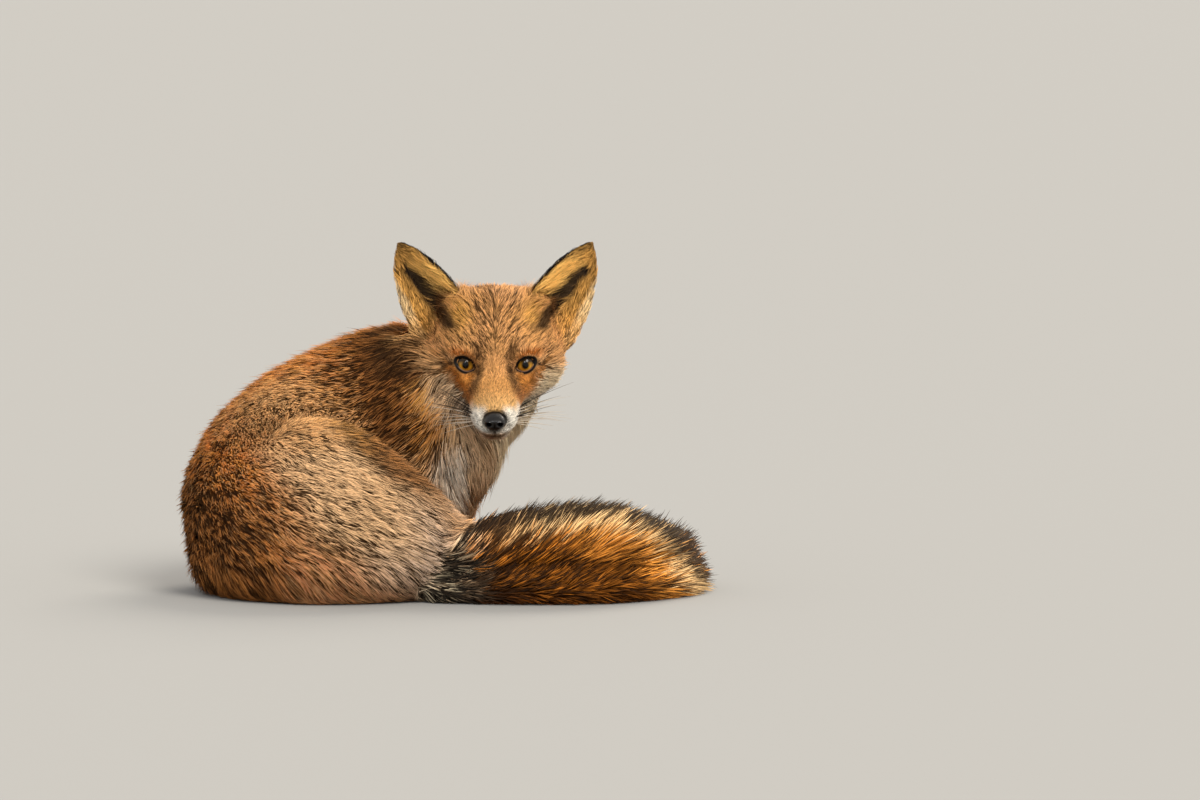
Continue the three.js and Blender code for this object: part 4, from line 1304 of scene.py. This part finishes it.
def iris_material(settings):
    """Amber iris with fine rays round a dark pupil, dark at its rim, shaded towards the top as painted shadow
    of the lid, under a wet clear coat.
    """
    material, tree, shader = plain_material("iris", 0.2, Coat_Weight=0.55, Coat_Roughness=0.03,
                                            Specular_IOR_Level=0.0)
    place = add_node(tree, "UVMap", uv_map="gaze")
    centred = add_node(tree, "VectorMath", {0: place.outputs[0], 1: (0.5, 0.5, 0)}, operation="SUBTRACT")
    tall = add_node(tree, "VectorMath", {0: centred.outputs[0], 1: (1, 0.86, 1)}, operation="MULTIPLY")
    reach = add_node(tree, "VectorMath", {0: tall.outputs[0]}, operation="LENGTH")
    heading = add_node(tree, "VectorMath", {0: centred.outputs[0]}, operation="NORMALIZE")
    rays = add_node(tree, "TexNoise", {"Vector": heading.outputs[0], "Scale": 9, "Detail": 5})
    wobble = add_node(tree, "Math", {0: rays.outputs["Fac"], 1: WOBBLE, 2: reach.outputs["Value"]},
                      operation="MULTIPLY_ADD")
    span = 2 * math.pi * EYE_RADIUS  # an arc on the eyeball over this is its distance on the map
    pupil = settings.pupil_width / 2 / span + WOBBLE / 2
    edge = settings.iris_width / 2 / span + WOBBLE / 2
    iris = np.array(settings.iris)
    stops = [(0, (0.002, 0.002, 0.002)), (pupil - 0.004, (0.002, 0.002, 0.002)), (pupil + 0.003, iris * 0.45),
             (mix(pupil, edge, 0.35), iris * 1.15), (mix(pupil, edge, 0.7), iris * 0.95),
             (edge - 0.006, iris * 0.35), (edge, (0.006, 0.004, 0.003)), (edge + 0.03, (0.05, 0.03, 0.02))]
    scale = 1 / 0.25  # the part of the map that the colours are spread over
    spread_out = add_node(tree, "Math", {0: wobble.outputs[0], 1: scale}, operation="MULTIPLY")
    colours = add_node(tree, "ValToRGB", {"Fac": spread_out.outputs[0]})
    elements = colours.color_ramp.elements
    while len(elements) < len(stops):
        elements.new(0.5)
    for stop, (at, colour) in zip(elements, stops):
        stop.position = float(at) * scale
        stop.color = (*colour, 1)
    # painted shadow of the upper lid: the iris darker towards its top
    parts = add_node(tree, "SeparateXYZ", {0: centred.outputs[0]})
    shade = add_node(tree, "MapRange", {"Value": parts.outputs["Y"], "From Min": -0.03, "From Max": 0.058,
                                        "To Min": 0.82, "To Max": 0.03})
    shaded = add_node(tree, "VectorMath", {0: colours.outputs["Color"], "Scale": shade.outputs[0]},
                      operation="SCALE")
    tree.links.new(shaded.outputs[0], shader.inputs["Base Color"])
    return material


def skin_height(tree, side, out, up):
    """How far ahead of the middle of an eyeball the skin is, at places outward and upward of it, in mm."""
    axes = eye_axes(side)
    high = []
    for o, u in zip(out, up):
        start = EYE_BALLS[side] + (o * axes[0] + u * axes[1] + 30 * axes[2]) * MM
        hit = tree.ray_cast(Vector(start), Vector(-axes[2]))[0]
        high.append(eye_places(np.array(hit)[None], side)[0, 2] if hit else 0)
    return np.array(high)


def lid_surface(side, tree, turns=96):
    """A lid: rings of the opening's outline, rising over its edge and then sinking under the fur."""
    turn = np.linspace(0, 2 * math.pi, turns, endpoint=False)
    a, b = lid_edge(turn)
    size = np.hypot(a, b)
    rings, gaps = [], []
    for gap, rise in LID_STEPS:
        out, up = a * (1 + gap / size), b * (1 + gap / size)
        near = 1 + min(gap, 0) / size
        level = lid_dome(a * near, b * near, EYE_MM + LID * rise + 0.1)
        face = skin_height(tree, side, out, up) + 0.35
        high = level + (face - level) * ramp(gap, 0.8, 4.5) - 1.2 * ramp(gap, 4.0, 6.4)
        rings.append(np.stack([out, up, high * np.ones_like(out)], -1))
        gaps.append(np.full(turns, gap))
    local = np.concatenate(rings)
    tri = grid_faces(len(LID_STEPS), turns, True)
    return EYE_BALLS[side] + local @ eye_axes(side) * MM, tri, np.concatenate(gaps)


def lid_material():
    """Bare black lid skin with a painted sheen along its wet lower edge, merging into the undercoat's colour,
    darkened as painted shade.
    """
    material, tree, shader = plain_material("lid skin", 0.45, Specular_IOR_Level=0.1)
    place = add_node(tree, "TexCoord").outputs["Object"]
    grain = add_node(tree, "TexNoise", {"Vector": place, "Scale": 1800})
    add_relief(tree, grain.outputs["Fac"], 0.35, 0.2 * MM)
    tree.links.new(vertex_colour(tree), shader.inputs["Base Color"])
    return material


class FOX_OT_eyes(bpy.types.Operator):
    """Make the eyeballs and the lids that frame them"""
    bl_idname = "fox.eyes"
    bl_label = "Eyes"

    def execute(self, context):
        iris = iris_material(context.scene.fox_face)
        lids = lid_material()
        tree = BVHTree.FromPolygons(skin["co"].tolist(), skin["tri"].tolist())
        for side, word in ((1, "left"), (-1, "right")):
            co, tri, uv = eyeball(side)
            co, tri, uv = merged(co, outward(co, tri), uv)
            mesh = new_mesh(f"eyeball_{word}", co, tri)
            layer = mesh.uv_layers.new(name="gaze")
            layer.data.foreach_set("uv", uv[tri.ravel()].astype(np.float32).ravel())
            ball = new_piece(f"eyeball_{word}", mesh, iris)
            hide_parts(f"eye_{word}")
            co, tri, gap = lid_surface(side, tree)
            if side < 0:
                tri = tri[:, ::-1]
            mesh = new_mesh(f"lids_{word}", co, tri)
            near = nearest(skin["tree"], co)
            # where the lid sinks under the fur it takes the coat's colours at 0.6, painted shade under the
            # hair
            under = marking(co, skin["normal"][near], skin["weights"][near])["mid"] * 0.6
            places = eye_places(co, side)
            # painted sheen: a pale line along the wet lower edge of the lids
            moist = 0.7 * bump(gap, 0, 0.35) * ramp(-places[:, 1], 0.5, 3)
            black = mix(np.tile(BLACK * 0.3, (len(co), 1)), linear(140, 104, 78), moist)
            gap = gap - corner_rim(places[:, 0], places[:, 1])
            paint(mesh, mix(black, under, ramp(gap, RIM, RIM + 1.2)))
            new_piece(f"lids_{word}", mesh, lids)
        return {"FINISHED"}


# ---------------------------------------------------------------- nose and whiskers

NOSE_SEAT = 71.5  # how far ahead of the pupils the skin ends, in mm
NOSE_BACK = 69.0  # how far ahead of the pupils the nose pad begins and ends, in mm
NOSE_FRONT = 83.6
NOSE_LEVEL = -19.3  # above the pupils, and the pad's size round that level, in mm
NOSE_HALF_WIDTH = 10.0
NOSE_HIGH = 7.1
NOSE_LOW = 9.0
WHISKER_ROWS = 4
WHISKERS_IN_ROW = 5


def nose_surface(rings=70, turns=128):
    """A pad: outlines narrowing over a domed front, with a cleft down the middle and two nostrils."""
    rho = np.linspace(1, 0, rings)[:, None] * np.ones((1, turns))
    turn = np.linspace(0, 2 * math.pi, turns, endpoint=False)[None] * np.ones((rings, 1))
    high = np.where(np.sin(turn) > 0, NOSE_HIGH, NOSE_LOW)
    x = NOSE_HALF_WIDTH * np.cos(turn) * (1 - 0.34 * np.maximum(0, -np.sin(turn)) ** 1.5) * rho**0.8
    y = high * np.sin(turn) * rho**0.8
    depth = (1 - rho**3.2) ** (1 / 2.1)
    ahead = NOSE_BACK + (NOSE_FRONT - NOSE_BACK) * depth
    ahead -= 3.6 * ramp(y, 1.5, 8.5) * depth + 1.2 * ramp(-y, 2, 9) * depth
    a = np.abs(x)
    wing = 1.1 * np.exp(-(((a - 5.6) / 2.6) ** 2) - ((y + 0.2) / 3.4) ** 2)
    cleft = 0.9 * np.exp(-((a / 0.6) ** 2)) * ramp(-y, -1.5, 2)
    hole = np.hypot((a - 4.7) / 1.9, (y + 0.5) / 1.45)
    slit = np.hypot((y + 1.4 + 0.32 * (a - 5)) / 0.75, np.maximum(0, np.abs(a - 7.3) - 2.2) / 0.9)
    dent = 4.2 * np.exp(-(hole**3)) + 1.9 * np.exp(-(slit**2))
    ahead += (wing - cleft - dent) * ramp(1 - rho, 0.02, 0.2)
    co = on_head_many(ahead.ravel(), x.ravel(), (NOSE_LEVEL + y).ravel())
    shade = (dent / 3 + cleft).ravel()
    back = on_head(NOSE_BACK - 3, 0, NOSE_LEVEL)
    co = np.vstack([co, back])
    shade = np.append(shade, 0)
    tri = grid_faces(rings, turns, True)
    last = np.arange(turns)
    cap = np.stack([last, (last + 1) % turns, np.full(turns, len(co) - 1)], 1)[:, ::-1]
    return co, np.vstack([tri, cap]), np.clip(shade, 0, 1)


def on_head_many(ahead, side, above):
    """Points of the head from arrays of the three measures."""
    return EYE_POINT + MM * np.stack([ahead, side, above], 1) @ HEAD_AXES


def nose_material():
    """Black pebbled leather, moist."""
    material, tree, shader = plain_material("nose leather", 0.3, Specular_IOR_Level=0.1, Coat_Weight=0.42,
                                            Coat_Roughness=0.13)
    place = add_node(tree, "TexCoord").outputs["Object"]
    pebble = add_node(tree, "TexVoronoi", {"Vector": place, "Scale": 1150})
    add_relief(tree, pebble.outputs["Distance"], 0.55, 0.35 * MM, invert=True)
    tree.links.new(vertex_colour(tree), shader.inputs["Base Color"])
    return material


def whisker_arrays(roots, ways, lengths, thick, droop, steps=12, sides=5):
    """Tapered tubes: centre = root + way t + droop t squared, radius falling from thick to a point."""
    t = np.linspace(0, 1, steps)
    reach = (ways * lengths[:, None])[:, None] * t[:, None]
    fall = (droop * lengths[:, None])[:, None] * (t**2)[:, None]
    centre = roots[:, None] + reach + fall
    along = unit(np.gradient(centre, axis=1))
    across = unit(np.cross(along, UP))
    lift = np.cross(across, along)
    turn = np.linspace(0, 2 * math.pi, sides, endpoint=False)
    radius = thick[:, None] * (1 - 0.93 * t[None]) ** 0.8
    ring = across[:, :, None] * np.cos(turn)[:, None] + lift[:, :, None] * np.sin(turn)[:, None]
    co = centre[:, :, None] + ring * radius[:, :, None, None]
    tube = grid_faces(steps, sides, True)
    first = np.array([(0, i, i + 1) for i in range(1, sides - 1)])
    last = (steps - 1) * sides + first[:, ::-1]
    tri = np.vstack([tube, first, last])
    count = steps * sides
    tri = (np.arange(len(roots))[:, None, None] * count + tri[None]).reshape(-1, 3)
    return co.reshape(-1, 3), tri, np.tile(np.repeat(t, sides), len(roots))


class FOX_OT_muzzle(bpy.types.Operator):
    """Make the nose pad and the whiskers"""
    bl_idname = "fox.muzzle"
    bl_label = "Nose and whiskers"

    def execute(self, context):
        co, tri, shade = nose_surface()
        co, tri, shade = merged(co, outward(co, tri), shade)
        mesh = new_mesh("nose_pad", co, tri)
        paint(mesh, mix(np.tile(linear(14, 11, 10), (len(co), 1)), linear(3, 2, 2), shade))
        piece = new_piece("nose_pad", mesh, nose_material())
        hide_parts("nose")
        rng = np.random.default_rng(3)
        tree = BVHTree.FromPolygons(skin["co"].tolist(), skin["tri"].tolist())
        roots, ways, lengths, pale = [], [], [], []
        for side in (1, -1):
            for row in range(WHISKER_ROWS):
                for k in range(WHISKERS_IN_ROW):
                    ahead = 62 - 5.2 * k - 1.5 * row + rng.normal(0, 0.8)
                    level = -19.5 - 3.0 * row + rng.normal(0, 0.5) - 0.3 * k
                    axis = on_head(ahead, 0, level)
                    hit = tree.ray_cast(Vector(axis), Vector(side * LEFTWARD))[0]
                    if hit is None:
                        raise RuntimeError("a whisker's root misses the muzzle")
                    out = np.array([-0.55 - 0.10 * k + rng.normal(0, 0.10), side * 1.0,
                                    0.30 - 0.20 * row + rng.normal(0, 0.10)])
                    roots.append(np.array(hit) - side * LEFTWARD * 0.4 * MM)
                    ways.append(unit(out @ HEAD_AXES))
                    lengths.append((30 + 7 * k + rng.uniform(-5, 6)) * MM)
                    pale.append(row >= 2 or (side > 0 and row >= 1 and k > 1))
        roots, ways, lengths = np.array(roots), np.array(ways), np.array(lengths)
        droop = np.tile(-0.22 * FORWARD - 0.16 * UP, (len(roots), 1)) * rng.uniform(0.5, 1.4, (len(roots), 1))
        co, tri, t = whisker_arrays(roots, ways, lengths, rng.uniform(0.3, 0.46, len(roots)) * MM, droop)
        mesh = new_mesh("whiskers", co, outward(co, tri))
        per = len(co) // len(roots)
        base = np.where(np.repeat(pale, per)[:, None], linear(196, 182, 164), linear(20, 16, 14))
        paint(mesh, mix(base, linear(150, 130, 108), 0.5 * t**2))
        new_piece("whiskers", mesh, hair_material("whisker", roughness=0.4, size=300, depth=0.1))
        return {"FINISHED"}


# ---------------------------------------------------------------- the stage


FLOOR_RADIUS = 60.0
FLOOR_COLOUR = (0.31, 0.305, 0.295)
WORLD_COLOUR = (1.0, 0.975, 0.94)
WORLD_STRENGTH = 0.84
# Each lamp: its name, the way its light goes, its strength, its width in degrees and its colour.
LAMPS = (
    ("key", (-0.55, 0.85, -0.95), 2.7, 30, (1.0, 0.95, 0.86)),
    ("back", (-0.5, -0.9, -0.8), 2.2, 30, (1.0, 0.93, 0.82)),
    ("catch", (0.1, 0.86, -0.5), 0.8, 7, (0.9, 0.95, 1.0)),
)


class FOX_OT_stage(bpy.types.Operator):
    """Make the floor, the lights and the camera"""
    bl_idname = "fox.stage"
    bl_label = "Stage"

    def execute(self, context):
        settings = context.scene.fox_stage
        turn = np.linspace(0, 2 * math.pi, 64, endpoint=False)
        disc = np.stack([np.cos(turn) * FLOOR_RADIUS, np.sin(turn) * FLOOR_RADIUS, 0 * turn], 1)
        floor = bpy.data.objects.new("floor", new_mesh("floor", disc, np.arange(64)[None]))
        context.scene.collection.objects.link(floor)
        material, _, _ = plain_material("floor", 0.95, Base_Color=(*FLOOR_COLOUR, 1), Specular_IOR_Level=0.1)
        floor.data.materials.append(material)
        world = bpy.data.worlds.new("studio")
        world.use_nodes = True
        sky = world.node_tree.nodes["Background"]
        sky.inputs["Color"].default_value = (*WORLD_COLOUR, 1)
        sky.inputs["Strength"].default_value = WORLD_STRENGTH
        context.scene.world = world
        for name, heading, strength, width, colour in LAMPS:
            lamp = bpy.data.objects.new(name, bpy.data.lights.new(name, "SUN"))
            context.scene.collection.objects.link(lamp)
            lamp.data.energy = strength
            lamp.data.angle = math.radians(width)
            lamp.data.color = colour
            lamp.rotation_euler = Vector(heading).to_track_quat("-Z", "Y").to_euler()
        camera = bpy.data.objects.new("camera", bpy.data.cameras.new("camera"))
        context.scene.collection.objects.link(camera)
        back = Vector((0, -math.cos(settings.elevation), math.sin(settings.elevation)))
        camera.location = Vector(settings.aim) + back * settings.distance
        camera.rotation_euler = (-back).to_track_quat("-Z", "Y").to_euler()
        camera.data.lens = camera.data.sensor_width * settings.distance / settings.width
        camera.data.clip_end = 50
        context.scene.camera = camera
        context.scene.view_settings.view_transform = "Standard"
        return {"FINISHED"}


# ---------------------------------------------------------------- the add-on


class FOX_PT_panel(bpy.types.Panel):
    """The steps that build the fox, in order"""
    bl_idname = "FOX_PT_panel"
    bl_label = "Curled fox"
    bl_space_type = "VIEW_3D"
    bl_region_type = "UI"
    bl_category = "Fox"

    def draw(self, context):
        for operator in OPERATORS:
            self.layout.operator(operator.bl_idname)
        for group in SETTINGS:
            box = self.layout.box()
            for name in SETTINGS[group].__annotations__:
                box.prop(getattr(context.scene, group), name)


OPERATORS = (FOX_OT_skin, FOX_OT_eyes, FOX_OT_muzzle, FOX_OT_coat, FOX_OT_stage)
SETTINGS = {"fox_skin": FoxSkinSettings, "fox_coat": FoxCoatSettings, "fox_face": FoxFaceSettings,
            "fox_stage": FoxStageSettings}


def register():
    for kind in (*SETTINGS.values(), *OPERATORS, FOX_PT_panel):
        bpy.utils.register_class(kind)
    for name, kind in SETTINGS.items():
        setattr(bpy.types.Scene, name, bpy.props.PointerProperty(type=kind))


def unregister():
    for name in SETTINGS:
        delattr(bpy.types.Scene, name)
    for kind in reversed((*SETTINGS.values(), *OPERATORS, FOX_PT_panel)):
        bpy.utils.unregister_class(kind)


def main():
    """Build every piece in order."""
    register()
    for operator in OPERATORS:
        step = operator.bl_idname.split(".")[1]
        getattr(bpy.ops.fox, step)()


if __name__ == "__main__":
    main()
